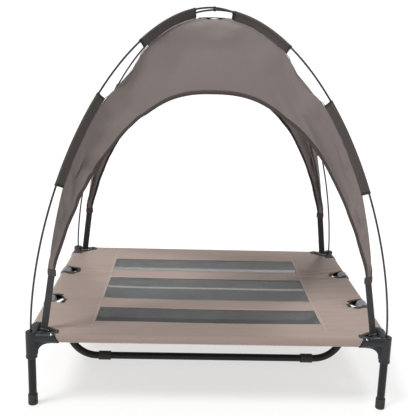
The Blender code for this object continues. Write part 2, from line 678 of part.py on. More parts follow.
def strap_ends(corner):
    foot = at_corner(corner, *STRAP_FOOT, STRAP_BOTTOM)
    top = on_diagonal(corner, STRAP_TOP_PLACE * HALF_DIAGONAL, TAIL_HEIGHT - STRAP_TOP_GAP)
    return foot, top


def strap(name, corner, material, parent):
    foot, top = strap_ends(corner)
    shape = slab(foot, top, strap_across(corner), STRAP_WIDTH, STRAP_THICKNESS)
    return make(f"strap_{name}", shape, material, parent=parent)


def keeper(name, corner, material, parent):
    """Steel tee under a strap: its stem drops through the slot in the connector's web."""
    foot, _ = strap_ends(corner)
    across = strap_across(corner)
    top = foot - Z_AXIS * 2 * TOUCH_GAP
    shoulder = top - Z_AXIS * KEEPER_HEAD[1]
    bottom = top - Z_AXIS * KEEPER_STEM[1]
    piece = make(f"strap_keeper_{name}", slab(shoulder, top, across, KEEPER_HEAD[0], KEEPER_THICKNESS),
                 material, parent=parent)
    inside_head = shoulder + Z_AXIS * KEEPER_HEAD[1] / 2
    boolean(piece, "UNION", slab(bottom, inside_head, across, KEEPER_STEM[0], KEEPER_THICKNESS))
    return piece


# ---- assembly -------------------------------------------------------------------------------
def build():
    clear_scene()
    moulding = finish_material("black_moulding", (0.022, 0.022, 0.024), 0.42)
    steel = finish_material("black_coated_steel", (0.020, 0.020, 0.022), 0.35, 0.3)
    rubber = finish_material("black_rubber", (0.018, 0.018, 0.018), 0.7)
    bright = finish_material("bright_steel", (0.62, 0.62, 0.62), 0.25, 1.0)
    cloth = finish_material("taupe_cloth", (0.36, 0.29, 0.26), 0.85)
    netting = finish_material("grey_netting", (0.09, 0.09, 0.09), 0.8)
    fibre = finish_material("black_fibreglass", (0.02, 0.02, 0.02), 0.4)
    canopy_cloth = finish_material("grey_canopy_cloth", (0.20, 0.16, 0.15), 0.8)
    webbing = finish_material("black_webbing", (0.03, 0.03, 0.03), 0.75)

    for name, corner in CORNERS.items():
        connector(name, corner, moulding)
        leg(name, corner, steel)
        foot_cap(name, corner, rubber)
        snap_button(name, corner, bright)
    rails(steel)
    for name, y in (("front", -BAR_Y), ("rear", BAR_Y)):
        support_bar(name, y, steel)
        for side, side_x in (("left", -1), ("right", 1)):
            floor_pad(f"{name}_{side}", side_x, y, rubber)
            bar_clamp(f"{name}_{side}", side_x, y, moulding)
    bed_cloth(cloth)
    mesh_strips(netting)

    canopy = bpy.data.objects.new("canopy_lift", None)
    canopy.location = (0, 0, SLEEVE_TOP)
    bpy.context.scene.collection.objects.link(canopy)
    for name, (ends, apex) in POLES.items():
        pole(name, ends, apex, fibre, canopy)
        for end in ends:
            pole_sleeve(f"pole_sleeve_top_{end}", CORNERS[end], apex, UPPER_SLEEVE, webbing, canopy)
            pole_sleeve(f"pole_sleeve_low_{end}", CORNERS[end], apex, LOWER_SLEEVE, webbing, canopy)
    for name, facing in (("front", (0, -1)), ("rear", (0, 1)), ("left", (-1, 0)), ("right", (1, 0))):
        gore(name, facing, canopy_cloth, canopy)
    for name, corner in CORNERS.items():
        strap(name, corner, webbing, canopy)
        keeper(name, corner, bright, canopy)


build()
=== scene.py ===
# %% [markdown]
# # A raised dog bed with a sun canopy
#
# The real bed is a frame of black steel tubes in moulded corners, with a cloth deck pulled tight over
# it. Two crossed rods stand in the corners and carry a cloth canopy that lifts off with them.
# The steel frame already exists as an exact model, so this lesson dresses it: each cell makes one
# piece or one finish, and every place is worked out from the frame's own boxes.

from math import acos, atan2, copysign, cos, hypot, pi, radians, sin, tan

import bmesh
import bpy
from mathutils import Matrix, Vector, noise


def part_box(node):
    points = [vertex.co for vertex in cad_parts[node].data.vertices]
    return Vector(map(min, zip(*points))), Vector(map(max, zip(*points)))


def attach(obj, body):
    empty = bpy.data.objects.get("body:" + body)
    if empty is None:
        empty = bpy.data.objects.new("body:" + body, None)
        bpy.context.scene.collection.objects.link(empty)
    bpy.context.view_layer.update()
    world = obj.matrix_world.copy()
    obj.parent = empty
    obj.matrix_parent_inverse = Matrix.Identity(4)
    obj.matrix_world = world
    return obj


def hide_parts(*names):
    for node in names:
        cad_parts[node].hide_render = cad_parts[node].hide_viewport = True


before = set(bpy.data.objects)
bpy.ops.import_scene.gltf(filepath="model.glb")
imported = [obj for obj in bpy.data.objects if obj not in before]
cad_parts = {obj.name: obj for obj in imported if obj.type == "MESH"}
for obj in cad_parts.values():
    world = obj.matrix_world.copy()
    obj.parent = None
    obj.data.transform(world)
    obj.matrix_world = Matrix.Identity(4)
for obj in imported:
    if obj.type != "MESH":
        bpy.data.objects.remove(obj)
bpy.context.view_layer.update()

# %% [markdown]
# ## Measuring the frame
# A tape measure comes before the sewing machine. The legs give the corners of the bed, the rails give
# its height, and the rods give the crown of the canopy. Reading these from the frame means that the
# cloth still fits if the frame is ever made larger.

# %% Sizes read from the frame
X, Y, Z = Vector((1, 0, 0)), Vector((0, 1, 0)), Vector((0, 0, 1))
MM = 0.001


def middle(node):
    low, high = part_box(node)
    return (low + high) / 2


def size(node):
    low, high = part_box(node)
    return high - low


leg_centre = middle("leg_rear_right")
HALF_X, HALF_Y = leg_centre.x, leg_centre.y
HALF_DIAGONAL = hypot(HALF_X, HALF_Y)
RAIL_Z = middle("front_rail").z
TUBE_R = size("leg_rear_right").x / 2
SLEEVE_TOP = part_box("corner_rear_right")[1].z
ROD_R = 2.5 * MM
UPPER_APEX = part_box("pole_upper")[1].z - ROD_R
LOWER_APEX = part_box("pole_lower")[1].z - ROD_R
BAR_Y = middle("rear_support_bar").y
BAR_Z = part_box("rear_support_bar")[0].z + TUBE_R
CORNERS = {"front_left": (-1, -1), "front_right": (1, -1), "rear_left": (-1, 1), "rear_right": (1, 1)}
print(f"legs at {HALF_X:.3f} x {HALF_Y:.3f} m, rails at {RAIL_Z:.3f} m, apex at {UPPER_APEX:.4f} m")

# %% [markdown]
# ## The camera
# A product picture of a bed is taken from in front, a little above it and almost level across. A long
# lens from two metres keeps the near corners from swelling. The camera is turned in three steps: to the
# side, then down, and last a slight roll about its own axis.

# %% Camera
CAMERA_PLACE = Vector((-0.0656, -1.9271, 0.8863))
CAMERA_YAW, CAMERA_PITCH, CAMERA_ROLL = 0.03276, 0.23277, 0.02931
scene = bpy.context.scene
camera = bpy.data.objects.new("camera", bpy.data.cameras.new("camera"))
scene.collection.objects.link(camera)
camera.data.lens = 58.86
camera.data.clip_start = 0.05
camera.matrix_world = (
    Matrix.Translation(CAMERA_PLACE)
    @ Matrix.Rotation(-CAMERA_YAW, 4, "Z")
    @ Matrix.Rotation(pi / 2 - CAMERA_PITCH, 4, "X")
    @ Matrix.Rotation(CAMERA_ROLL, 4, "Z")
)
scene.camera = camera
print("camera", [round(value, 3) for value in camera.location])

# %% [markdown]
# ## Studio light
# Cloth shows its folds only when more light comes from one side than from the others. One sun from the
# left and in front does that, and a weaker one from behind rakes across the deck. The studio's walls are
# lit white, which gives a white background, and its ceiling is dimmer, so that undersides and folds stay
# darker than tops. The view transform is the plain one, which shows colours as they are set.

# %% Lamps and walls
WALL_LIGHT, CEILING_LIGHT = 1.05, 0.34
scene.view_settings.view_transform = "Standard"
world = bpy.data.worlds.new("studio")
world.use_nodes = True
scene.world = world
studio = world.node_tree
heading = studio.nodes.new("ShaderNodeTexCoord")
split = studio.nodes.new("ShaderNodeSeparateXYZ")
ramp = studio.nodes.new("ShaderNodeMapRange")
ramp.interpolation_type = "SMOOTHSTEP"
limits = {"From Min": 0.1, "From Max": 0.3, "To Min": WALL_LIGHT, "To Max": CEILING_LIGHT}
for socket, value in limits.items():
    ramp.inputs[socket].default_value = value
studio.nodes["Background"].inputs["Color"].default_value = (1.0, 1.0, 1.0, 1.0)
studio.links.new(heading.outputs["Generated"], split.inputs[0])
studio.links.new(split.outputs["Z"], ramp.inputs["Value"])
studio.links.new(ramp.outputs["Result"], studio.nodes["Background"].inputs["Strength"])


def sun(name, direction, strength, width):
    """A soft sun that shines along a direction."""
    data = bpy.data.lights.new(name, "SUN")
    data.energy, data.angle = strength, radians(width)
    light = bpy.data.objects.new(name, data)
    light.matrix_world = (-Vector(direction)).to_track_quat("Z", "Y").to_matrix().to_4x4()
    scene.collection.objects.link(light)


sun("key_sun", (0.5, 0.3, -1.0), 2.0, 20)
sun("back_sun", (-0.15, -0.6, -1.0), 1.1, 16)
print("walls", WALL_LIGHT, "ceiling", CEILING_LIGHT)

# %% [markdown]
# ## Finishes as arithmetic
# Node graphs are quick to draw but hard to read back. The small class below wraps one output socket, so
# that `1 - mask * 0.4` adds its own Math nodes, and a finish reads like the sum it is. Every other node
# comes from one method, which takes the node's type, its settings and what goes into its sockets.


# %% Signals and finishes
class Signal:
    """An output socket that can be used in sums."""

    def __init__(self, finish, socket):
        self.finish, self.socket = finish, socket

    def maths(self, operation, other=0.0):
        """A Math node on this signal, with a second value where the operation takes one."""
        return self.finish.add("Math", {"operation": operation}, {0: self, 1: other})

    def __add__(self, other):
        return self.maths("ADD", other)

    def __sub__(self, other):
        return self.maths("SUBTRACT", other)

    def __rsub__(self, other):
        return self.finish.add("Math", {"operation": "SUBTRACT"}, {0: other, 1: self})

    def __mul__(self, other):
        return self.maths("MULTIPLY", other)

    __radd__, __rmul__ = __add__, __mul__


class Finish:
    """A material on a Principled shader."""

    def __init__(self, name, colour, roughness, metallic=0.0, **fixed):
        self.material = bpy.data.materials.new(name)
        self.material.use_nodes = True
        self.material.diffuse_color = (*colour, 1.0)
        self.tree = self.material.node_tree
        self.shader = self.tree.nodes["Principled BSDF"]
        self.colour = (*colour, 1.0)
        self.set("Base Color", self.colour)
        self.set("Roughness", roughness)
        self.set("Metallic", metallic)
        for socket, value in fixed.items():
            self.set(socket.replace("_", " ").title(), value)

    def set(self, socket, value):
        self.feed(self.shader.inputs[socket], value)

    def feed(self, socket, value):
        if isinstance(value, Signal):
            self.tree.links.new(value.socket, socket)
        else:
            socket.default_value = value

    def add(self, kind, settings, sockets, output=0):
        """A node with its settings and inputs, as the signal of one of its outputs."""
        node = self.tree.nodes.new("ShaderNode" + kind)
        for name, value in settings.items():
            setattr(node, name, value)
        for name, value in sockets.items():
            self.feed(node.inputs[name], value)
        return Signal(self, node.outputs[output])

    def place(self):
        return self.add("TexCoord", {}, {}, "Object")

    def cloth(self):
        """Place in the flat cloth, in metres."""
        return self.add("UVMap", {"uv_map": "cloth"}, {})

    def axes(self, source):
        parts = self.add("SeparateXYZ", {}, {0: source})
        return [Signal(self, output) for output in parts.socket.node.outputs]

    def noise(self, scale, detail=3.0, roughness=0.5, source=None):
        return self.add("TexNoise", {}, {
            "Vector": source or self.place(), "Scale": scale, "Detail": detail, "Roughness": roughness})

    def mix(self, share, first, second):
        return self.add("Mix", {"data_type": "RGBA"}, {0: share, 6: first, 7: second}, 2)

    def bump(self, height, distance, strength=1.0):
        self.set("Normal", self.add("Bump", {}, {
            "Height": height, "Distance": distance, "Strength": strength}))

    def shade(self, share, darkest, lightest):
        """Base Color between two strengths of the finish's own colour."""
        low, high = ([channel * strength for channel in self.colour[:3]] + [1.0]
                     for strength in (darkest, lightest))
        self.set("Base Color", self.mix(share, low, high))


print("signals and finishes are ready")

# %% [markdown]
# ## Moulded nylon, powder coat, rubber and steel
# The corner pieces are glass-filled nylon: charcoal, half matt, with a fine grain left by the mould.
# The tubes are powder coated, which dries to a faint orange peel. Both are nearly black, so it is the
# gloss and the grain that tell them apart. The grain goes in as bump, and handling marks as roughness.

# %% Hard finishes
nylon = Finish("charcoal_nylon", (0.021, 0.022, 0.025), 0.4)
grain = nylon.noise(900, 2)
handling = nylon.noise(18, 4)
nylon.bump(grain, 0.05 * MM, 0.6)
nylon.set("Roughness", handling * 0.22 + 0.28)
nylon.shade(handling, 0.8, 1.3)
nylon.set("Specular IOR Level", 0.3)

coat = Finish("black_powder_coat", (0.013, 0.013, 0.014), 0.3)
peel = coat.noise(420, 1)
rub = coat.noise(9, 5, 0.7)
coat.bump(peel, 0.06 * MM, 0.5)
coat.set("Roughness", rub * 0.25 + 0.2)
coat.shade(rub, 0.8, 1.4)
coat.set("Specular IOR Level", 0.25)

rubber = Finish("black_rubber", (0.024, 0.023, 0.022), 0.72)
dust = rubber.noise(60, 5, 0.7)
rubber.bump(rubber.noise(700, 2), 0.05 * MM, 0.7)
rubber.shade(dust, 0.7, 1.6)
rubber.set("Roughness", dust * 0.2 + 0.62)

steel = Finish("bright_steel", (0.62, 0.62, 0.61), 0.25, 1.0)
brushing = steel.noise(500, 3)
steel.set("Roughness", brushing * 0.2 + 0.16)
steel.bump(brushing, 0.01 * MM, 0.5)

glass_rod = Finish("black_glass_fibre", (0.016, 0.015, 0.015), 0.32)
fibres = glass_rod.noise(1500, 2)
glass_rod.set("Roughness", fibres * 0.2 + 0.24)
glass_rod.shade(glass_rod.noise(14, 4), 0.7, 1.5)

# Painted highlight: the clamps' barrels are coloured mid grey for the light on their black nylon; the noise
# is scuffing.
saddle_painted_highlight = Finish("saddle_grey_painted_highlight", (0.19, 0.19, 0.195), 0.3)
scuff = saddle_painted_highlight.noise(55, 5, 0.65)
saddle_painted_highlight.shade(scuff, 0.85, 1.25)
saddle_painted_highlight.set("Roughness", scuff * 0.25 + 0.2)
saddle_painted_highlight.bump(saddle_painted_highlight.noise(600, 2), 0.03 * MM, 0.5)
print("hard finishes:", [finish.material.name for finish in (nylon, coat, rubber, steel, saddle_painted_highlight)])

# %% [markdown]
# ## Woven cloth
# The deck and the canopy are plain-woven polyester. Two sine waves at right angles give the threads,
# one going over where the other goes under, and their product is the bump. A thread is about half a
# millimetre wide. Slow noise over it stands for the uneven dye and the slight soiling of real cloth.


# %% Weave
def woven(name, colour, thread, patch_scale, sheen):
    """A plain-woven finish, with threads this wide, laid out on the piece's own cloth map."""
    finish = Finish(name, colour, 0.85, sheen_weight=sheen)
    across, along, _ = finish.axes(finish.cloth())
    crossing = (across * (pi / thread)).maths("SINE") * (along * (pi / thread)).maths("SINE")
    finish.bump(crossing * 0.5 + 0.5, 0.12 * MM, 0.6)
    patches = finish.noise(patch_scale, 5, 0.6)
    stretched = finish.add("Mapping", {}, {"Vector": finish.cloth(), "Scale": (900, 25, 1)})
    slubs = finish.noise(1.0, 2, source=stretched)
    finish.shade(patches * 0.55 + slubs * 0.35 + crossing * 0.05 + 0.05, 0.80, 1.18)
    finish.set("Roughness", patches * 0.2 + 0.7)
    return finish


deck_cloth = woven("taupe_oxford", (0.325, 0.250, 0.216), 0.5 * MM, 7, 0.15)
deck_hem = woven("taupe_hem", (0.365, 0.288, 0.252), 0.5 * MM, 7, 0.15)
hem_cloth = woven("red_brown_hem", (0.056, 0.038, 0.034), 0.35 * MM, 9, 0.15)
canopy_cloth = woven("grey_brown_polyester", (0.188, 0.156, 0.146), 0.35 * MM, 5, 0.2)
# Painted shade: the sleeves' cloth is coloured about a third as light as the canopy's, for the shade the
# sleeves hang in.
sleeve_cloth_painted_shade = woven("sleeve_polyester_painted_shade", (0.060, 0.050, 0.046), 0.35 * MM, 9, 0.1)
cloths = (deck_cloth, deck_hem, hem_cloth, canopy_cloth, sleeve_cloth_painted_shade)
print("cloth finishes:", [finish.material.name for finish in cloths])

# %% [markdown]
# ## Tape, thread and webbing
# The cut edges are bound with black tape, the hems are sewn with dark thread, and the corner straps are
# ribbed webbing. These are narrow, so a fine rib across them is enough to catch the light as cloth does.

# %% Narrow finishes
binding = Finish("black_binding_tape", (0.016, 0.014, 0.014), 0.8, sheen_weight=0.1)
binding.bump(binding.noise(1200, 2), 0.08 * MM, 0.7)
binding.shade(binding.noise(30, 4), 0.7, 1.5)

thread_dark = Finish("red_brown_thread", (0.105, 0.076, 0.066), 0.6)
thread_light = Finish("taupe_thread", (0.42, 0.35, 0.31), 0.6)
for thread, darkest, lightest in ((thread_dark, 0.7, 1.4), (thread_light, 0.8, 1.2)):
    thread.bump(thread.noise(3000, 1), 0.03 * MM, 0.6)
    thread.shade(thread.noise(40, 3), darkest, lightest)

RIB_PITCH = 1.3 * MM
webbing = Finish("black_webbing", (0.017, 0.016, 0.016), 0.62, sheen_weight=0.15)
_, rib_along, _ = webbing.axes(webbing.cloth())
ribs = (rib_along * (2 * pi / RIB_PITCH)).maths("SINE") * 0.5 + 0.5
webbing.bump(ribs, 0.25 * MM, 0.8)
webbing.shade(ribs * 0.6 + webbing.noise(50, 3) * 0.4, 0.6, 1.6)
print("narrow finishes:", binding.material.name, thread_dark.material.name, webbing.material.name)

# %% [markdown]
# ## Netting
# Three strips of the deck are coated netting, knitted open so that air passes. Its holes are real gaps,
# so the finish makes them with Alpha: two square waves leave a hole in each mesh. Netting of this kind
# is knitted double, and the two layers drift in and out of step, so the holes open and close in slow
# bands across the deck. The bands are strongest at the rear. In the same bands the strands are also
# painted lighter, as painted light for the bright floor seen through them.

# %% Netting finish
HOLE_PITCH, BAR_PITCH = 2.6 * MM, 5.5 * MM
# Place, half width and strength of each band.
BANDS = ((181 * MM, 17 * MM, 0.9), (13 * MM, 10 * MM, 1.0), (-84 * MM, 7 * MM, 0.5))
netting = Finish("grey_netting", (0.050, 0.052, 0.052), 0.6)
net_x, net_y, _ = netting.axes(netting.place())


def wave(signal, pitch):
    """A cosine from 0 to 1 that repeats every pitch."""
    return (signal * (2 * pi / pitch)).maths("COSINE") * 0.5 + 0.5


def band(place, half_width, strength):
    """A hump across the deck, which is highest at a place and zero beyond its half width."""
    off = (net_y - place) * (1 / half_width)
    return (1.0 - off * off).maths("MAXIMUM") * strength


rear_band, middle_band, front_band = (band(*numbers) for numbers in BANDS)
openness_and_painted_light = (rear_band + middle_band + front_band) * (wave(net_x, BAR_PITCH) * 0.7 + 0.3)
wave_x, wave_y = wave(net_x, HOLE_PITCH), wave(net_y, HOLE_PITCH)
netting.set("Alpha", 1.0 - (wave_x * wave_y).maths("GREATER_THAN", 0.88 - openness_and_painted_light * 0.62))
netting.bump(1.0 - (wave_x + wave_y) * 0.5, 0.4 * MM, 0.8)
# Painted light: where the bands are open the strands are coloured up to 2.6 times lighter, for the floor
# seen through them; the noise is random tone.
netting.shade(netting.noise(25, 4) * 0.4 + openness_and_painted_light * 0.6, 0.7, 2.6)
netting.material.surface_render_method = "DITHERED"
print("netting: holes every", HOLE_PITCH, "m,", len(BANDS), "open bands")

# %% [markdown]
# ## From a sketch to a finished piece
# Each piece starts as a bmesh, gets its faces turned outwards, and then becomes an object that rides on
# one body of the frame. Sharp edges stay sharp and the rest shades smoothly. The frame's own plain part
# is hidden in the same step, so that nothing is drawn twice.


# %% Finish a piece
def as_object(name, shape, finishes, crease=radians(35)):
    """A bmesh as an object, with one or more finishes."""
    mesh = bpy.data.meshes.new(name)
    shape.to_mesh(mesh)
    shape.free()
    for finish in finishes if isinstance(finishes, list) else [finishes]:
        mesh.materials.append(finish.material)
    mesh.shade_smooth()
    mesh.set_sharp_from_angle(angle=crease)
    piece = bpy.data.objects.new(name, mesh)
    scene.collection.objects.link(piece)
    return piece


def mount(piece, body, slot, *nodes):
    """The piece moves with a body, and stands for these plain parts of the frame."""
    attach(piece, body)
    if nodes:
        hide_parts(*nodes)
    return piece


def outwards(shape):
    bmesh.ops.remove_doubles(shape, verts=shape.verts, dist=1e-6)
    bmesh.ops.recalc_face_normals(shape, faces=shape.faces)
    return shape


def turned(profile, sides=40):
    """A lathe: the (radius, height) points are spun about Z into a closed shape."""
    shape = bmesh.new()
    points = [shape.verts.new((radius, 0, height)) for radius, height in profile]
    edges = [shape.edges.new(pair) for pair in zip(points, points[1:])]
    if profile[0][0] > 0:
        edges.append(shape.edges.new((points[-1], points[0])))
    bmesh.ops.spin(shape, geom=points + edges, axis=Z, cent=(0, 0, 0), angle=2 * pi, steps=sides,
                   use_merge=True)
    return outwards(shape)


def aimed(shape, place, direction):
    """Turns a shape's Z to a direction and moves its origin to a place."""
    turn = Vector(direction).to_track_quat("Z", "Y").to_matrix().to_4x4()
    bmesh.ops.transform(shape, matrix=Matrix.Translation(place) @ turn, verts=shape.verts)
    return shape


def joined(*shapes):
    """Several bmeshes as one."""
    whole = bmesh.new()
    for shape in shapes:
        scratch = bpy.data.meshes.new("scratch")
        shape.to_mesh(scratch)
        shape.free()
        whole.from_mesh(scratch)
        bpy.data.meshes.remove(scratch)
    return whole


def melt(piece, voxel, rounds):
    """Melts a piece's solids into one skin, and smooths it this many times."""
    remesh = piece.modifiers.new("melt", "REMESH")
    remesh.mode, remesh.voxel_size, remesh.use_smooth_shade = "VOXEL", voxel, True
    soften = piece.modifiers.new("soften", "SMOOTH")
    soften.factor, soften.iterations = 0.5, rounds


def thicken(piece, thickness):
    """Gives a cloth its thickness, half to each side."""
    skin = piece.modifiers.new("thickness", "SOLIDIFY")
    skin.thickness, skin.offset = thickness, 0.0
    return skin


def baked(piece):
    """Applies a piece's modifiers."""
    graph = bpy.context.evaluated_depsgraph_get()
    mesh = bpy.data.meshes.new_from_object(piece.evaluated_get(graph))
    piece.modifiers.clear()
    old, piece.data = piece.data, mesh
    bpy.data.meshes.remove(old)
    mesh.name = piece.name
    return piece


def block(low, high, rounding=0.0):
    """A box between two corners, with its edges rounded."""
    shape = bmesh.new()
    bmesh.ops.create_cube(shape, size=1.0)
    low, high = Vector(low), Vector(high)
    grow = Matrix.Diagonal((*(high - low), 1))
    bmesh.ops.transform(shape, matrix=Matrix.Translation((low + high) / 2) @ grow, verts=shape.verts)
    if rounding:
        bmesh.ops.bevel(shape, geom=shape.edges[:], offset=rounding, affect="EDGES", segments=2, profile=0.5,
                        material=-1)
    return shape


def slab(top, across, width, height, thickness, rounding=0.0):
    """An upright plate hanging from a point, with its width along a direction."""
    shape = block((-width / 2, -thickness / 2, -height), (width / 2, thickness / 2, 0), rounding)
    turn = Matrix.Rotation(atan2(across.y, across.x), 4, "Z")
    bmesh.ops.transform(shape, matrix=Matrix.Translation(top) @ turn, verts=shape.verts)
    return shape


def rod(start, end, radius, rounding=0.0, sides=40):
    """A solid round bar between two points, with a small chamfer."""
    length = (end - start).length
    profile = [(radius, rounding), (radius, length - rounding)]
    if rounding:
        profile = [(radius - rounding, 0), *profile, (radius - rounding, length)]
    return aimed(turned([(0, 0), *profile, (0, length)], sides), start, end - start)


def mirrored(piece, name, scale):
    """A copy of a piece's mesh, scaled by -1 along some axes, with its faces put right again."""
    shape = bmesh.new()
    shape.from_mesh(piece.data)
    bmesh.ops.transform(shape, matrix=Matrix.Diagonal((*scale, 1)), verts=shape.verts)
    if scale[0] * scale[1] < 0:
        bmesh.ops.reverse_faces(shape, faces=shape.faces)
    mesh = bpy.data.meshes.new(name)
    shape.to_mesh(mesh)
    shape.free()
    for material in piece.data.materials:
        mesh.materials.append(material)
    copy = bpy.data.objects.new(name, mesh)
    scene.collection.objects.link(copy)
    return copy


print("piece helpers are ready")

# %% [markdown]
# ## The moulded corners
# A corner is one moulding: a sleeve for the leg, an arm for each rail with a thicker collar at its
# slanted mouth, two thin gussets under the arms and a plate between them for the strap. Separate solids
# would leave hard creases where they meet. A moulding has small fillets there instead, so the solids are
# melted together with a voxel remesh of one millimetre, which rounds every meeting, and smoothed a little.

# %% Corner mouldings
ARM_R, COLLAR_R, SLEEVE_R = 13.0 * MM, 14.0 * MM, 13.5 * MM
COLLAR_START, MOUTH_TOP, MOUTH_BOTTOM = 46 * MM, 58.5 * MM, 69 * MM
SLEEVE_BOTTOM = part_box("corner_rear_right")[0].z
GUSSET_REACH, GUSSET_DROP, GUSSET_THICKNESS = 46 * MM, 31 * MM, 6 * MM
BUTTON_REACH, BUTTON_TILT = 51 * MM, radians(48)
STRAP_FOOT = Vector((27.8, 23.0, 0)) * MM
STRAP_TURN = radians(25)
corner_at = Vector((HALF_X, HALF_Y, 0))


def arm(towards):
    """An arm of the rear right corner, which points back along a rail."""
    profile = [(0, 0), (ARM_R, 0), (ARM_R, COLLAR_START - 1 * MM), (COLLAR_R, COLLAR_START + 1 * MM),
               (COLLAR_R, MOUTH_BOTTOM + 10 * MM), (0, MOUTH_BOTTOM + 10 * MM)]
    start = corner_at + Z * RAIL_Z
    shape = aimed(turned(profile), start, towards)
    slant = (MOUTH_BOTTOM - MOUTH_TOP) / (2 * COLLAR_R)
    cut = bmesh.ops.bisect_plane(
        shape, geom=shape.verts[:] + shape.edges[:] + shape.faces[:], dist=1e-7, clear_outer=True,
        plane_co=start + towards * (MOUTH_TOP + MOUTH_BOTTOM) / 2, plane_no=towards + Z * slant)
    rim = [edge for edge in cut["geom_cut"] if isinstance(edge, bmesh.types.BMEdge)]
    bmesh.ops.contextual_create(shape, geom=rim)
    return shape


def gusset(towards, across):
    """A thin plate under an arm, hollowed by a quarter of an ellipse between two small steps."""
    low, high = RAIL_Z - ARM_R - GUSSET_DROP, RAIL_Z - ARM_R
    step, steps = 2.5 * MM, 14
    shape = bmesh.new()
    outline = [(0, RAIL_Z), (GUSSET_REACH, RAIL_Z), (GUSSET_REACH, high - step)]
    for i in range(steps + 1):
        angle = pi / 2 * i / steps
        reach = GUSSET_REACH - step - (GUSSET_REACH - 2 * step - SLEEVE_R) * sin(angle)
        outline.append((reach, low + step + (high - low - 2 * step) * cos(angle)))
    outline += [(SLEEVE_R + step, low), (0, low)]
    start = corner_at - across * GUSSET_THICKNESS / 2
    corners = [shape.verts.new(start + towards * reach + Z * height) for reach, height in outline]
    thick = bmesh.ops.extrude_face_region(shape, geom=[shape.faces.new(corners)])
    moved = [item for item in thick["geom"] if isinstance(item, bmesh.types.BMVert)]
    bmesh.ops.translate(shape, vec=across * GUSSET_THICKNESS, verts=moved)
    return outwards(shape)


def sleeve():
    """The upright sleeve, with a raised ring at its mouth and a rolled top round the rod's hole."""
    ring = SLEEVE_R + 0.8 * MM
    base, top = SLEEVE_BOTTOM, SLEEVE_TOP
    profile = [(0, base), (ring - 1 * MM, base), (ring, base + 1 * MM), (ring, base + 6 * MM),
               (SLEEVE_R, base + 7 * MM), (SLEEVE_R, top - 2 * MM), (SLEEVE_R - 0.7 * MM, top - 0.7 * MM),
               (SLEEVE_R - 2 * MM, top), (ROD_R + 3 * MM, top), (ROD_R + 2 * MM, top - 1 * MM),
               (ROD_R + 0.7 * MM, top - 1 * MM), (ROD_R + 0.7 * MM, top - 16 * MM), (0, top - 16 * MM)]
    shape = turned(profile)
    bmesh.ops.translate(shape, vec=corner_at, verts=shape.verts)
    return shape


def strap_across(side_x, side_y):
    """Direction of a strap's width: its flat side is turned towards the middle of the bed."""
    return Vector((cos(STRAP_TURN), -side_x * side_y * sin(STRAP_TURN), 0))


def strap_slot_cutter():
    top = corner_at - STRAP_FOOT + Z * (RAIL_Z + 10 * MM)
    return slab(top, strap_across(1, 1), 17.6 * MM, 20 * MM, 3.2 * MM)


def button_hole_cutter():
    spot = corner_at - X * BUTTON_REACH + Z * RAIL_Z
    way = Vector((0, cos(BUTTON_TILT), sin(BUTTON_TILT)))
    return rod(spot + way * 6 * MM, spot + way * 20 * MM, 3.4 * MM, sides=24)


def corner_plate():
    """The plate between the arms, cut off on the slant."""
    centre = corner_at + Z * RAIL_Z
    shape = block(centre + Vector((-54, -44, -2)) * MM, centre + Vector((-4, -4, 2)) * MM)
    bmesh.ops.bisect_plane(
        shape, geom=shape.verts[:] + shape.edges[:] + shape.faces[:], dist=1e-7, clear_inner=True,
        plane_co=corner_at - Vector((54, 16, 0)) * MM, plane_no=Vector((28, 34, 0)).normalized())
    bmesh.ops.holes_fill(shape, edges=shape.edges, sides=0)
    return shape


solids = (sleeve(), arm(-X), arm(-Y), gusset(-X, Y), gusset(-Y, X), corner_plate())
moulding = as_object("corner_moulding", joined(*solids), nylon)
melt(moulding, 1.0 * MM, 3)
cutters = as_object("cutters", joined(strap_slot_cutter(), button_hole_cutter()), nylon)
holes = moulding.modifiers.new("holes", "BOOLEAN")
holes.operation, holes.object, holes.solver = "DIFFERENCE", cutters, "EXACT"
baked(moulding)
bpy.data.objects.remove(cutters)
for name, (side_x, side_y) in CORNERS.items():
    copy = mirrored(moulding, f"moulded_corner_{name}", (side_x, side_y, 1))
    mount(copy, "bed", "black_moulding", f"corner_{name}")
print("corner mouldings:", len(moulding.data.polygons), "faces each")
bpy.data.objects.remove(moulding)

# %% [markdown]
# ## Legs, feet and snap buttons
# These are all round, so each is a profile spun on a lathe. A leg is a tube with rolled ends. A foot is a
# rubber cup with shallow grooves for grip. A snap button is the steel dome that holds a rail in its arm.

# %% Legs, feet and buttons
LEG_LOW, LEG_TOP = (corner.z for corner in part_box("leg_rear_right"))
FOOT_R = size("foot_cap_rear_right").x / 2
FOOT_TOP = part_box("foot_cap_rear_right")[1].z
WALL = 1.2 * MM


def leg_profile():
    inner, edge = TUBE_R - WALL, 0.4 * MM
    return [(inner, LEG_LOW), (TUBE_R - edge, LEG_LOW), (TUBE_R, LEG_LOW + edge), (TUBE_R, LEG_TOP - edge),
            (TUBE_R - edge, LEG_TOP), (inner, LEG_TOP)]


def foot_profile():
    bore, groove = TUBE_R + 0.5 * MM, 0.5 * MM
    profile = [(0, 0), (FOOT_R - 2.5 * MM, 0), (FOOT_R - 0.9 * MM, 0.4 * MM), (FOOT_R, 1.6 * MM)]
    for i in range(3):
        low = (7 + 4 * i) * MM
        profile += [(FOOT_R, low), (FOOT_R - groove, low + 0.4 * MM), (FOOT_R - groove, low + 1.2 * MM),
                    (FOOT_R, low + 1.6 * MM)]
    return profile + [(FOOT_R, FOOT_TOP - 1.2 * MM), (FOOT_R - 0.5 * MM, FOOT_TOP - 0.3 * MM),
                      (FOOT_R - 1.0 * MM, FOOT_TOP), (bore, FOOT_TOP), (bore, 4 * MM), (0, 4 * MM)]


def button_profile():
    """Flange, shank and dome, as distances outwards from the rail's axis."""
    crown, dome, radius = COLLAR_R + 2.6 * MM, 1.8 * MM, 3.0 * MM
    arc = [(radius * cos(pi / 2 * i / 6), crown - dome * (1 - sin(pi / 2 * i / 6))) for i in range(6)]
    flange = [(0, 5.8 * MM), (4.3 * MM, 5.8 * MM), (4.3 * MM, 6.8 * MM), (radius, 7.0 * MM)]
    return flange + arc + [(0, crown)]


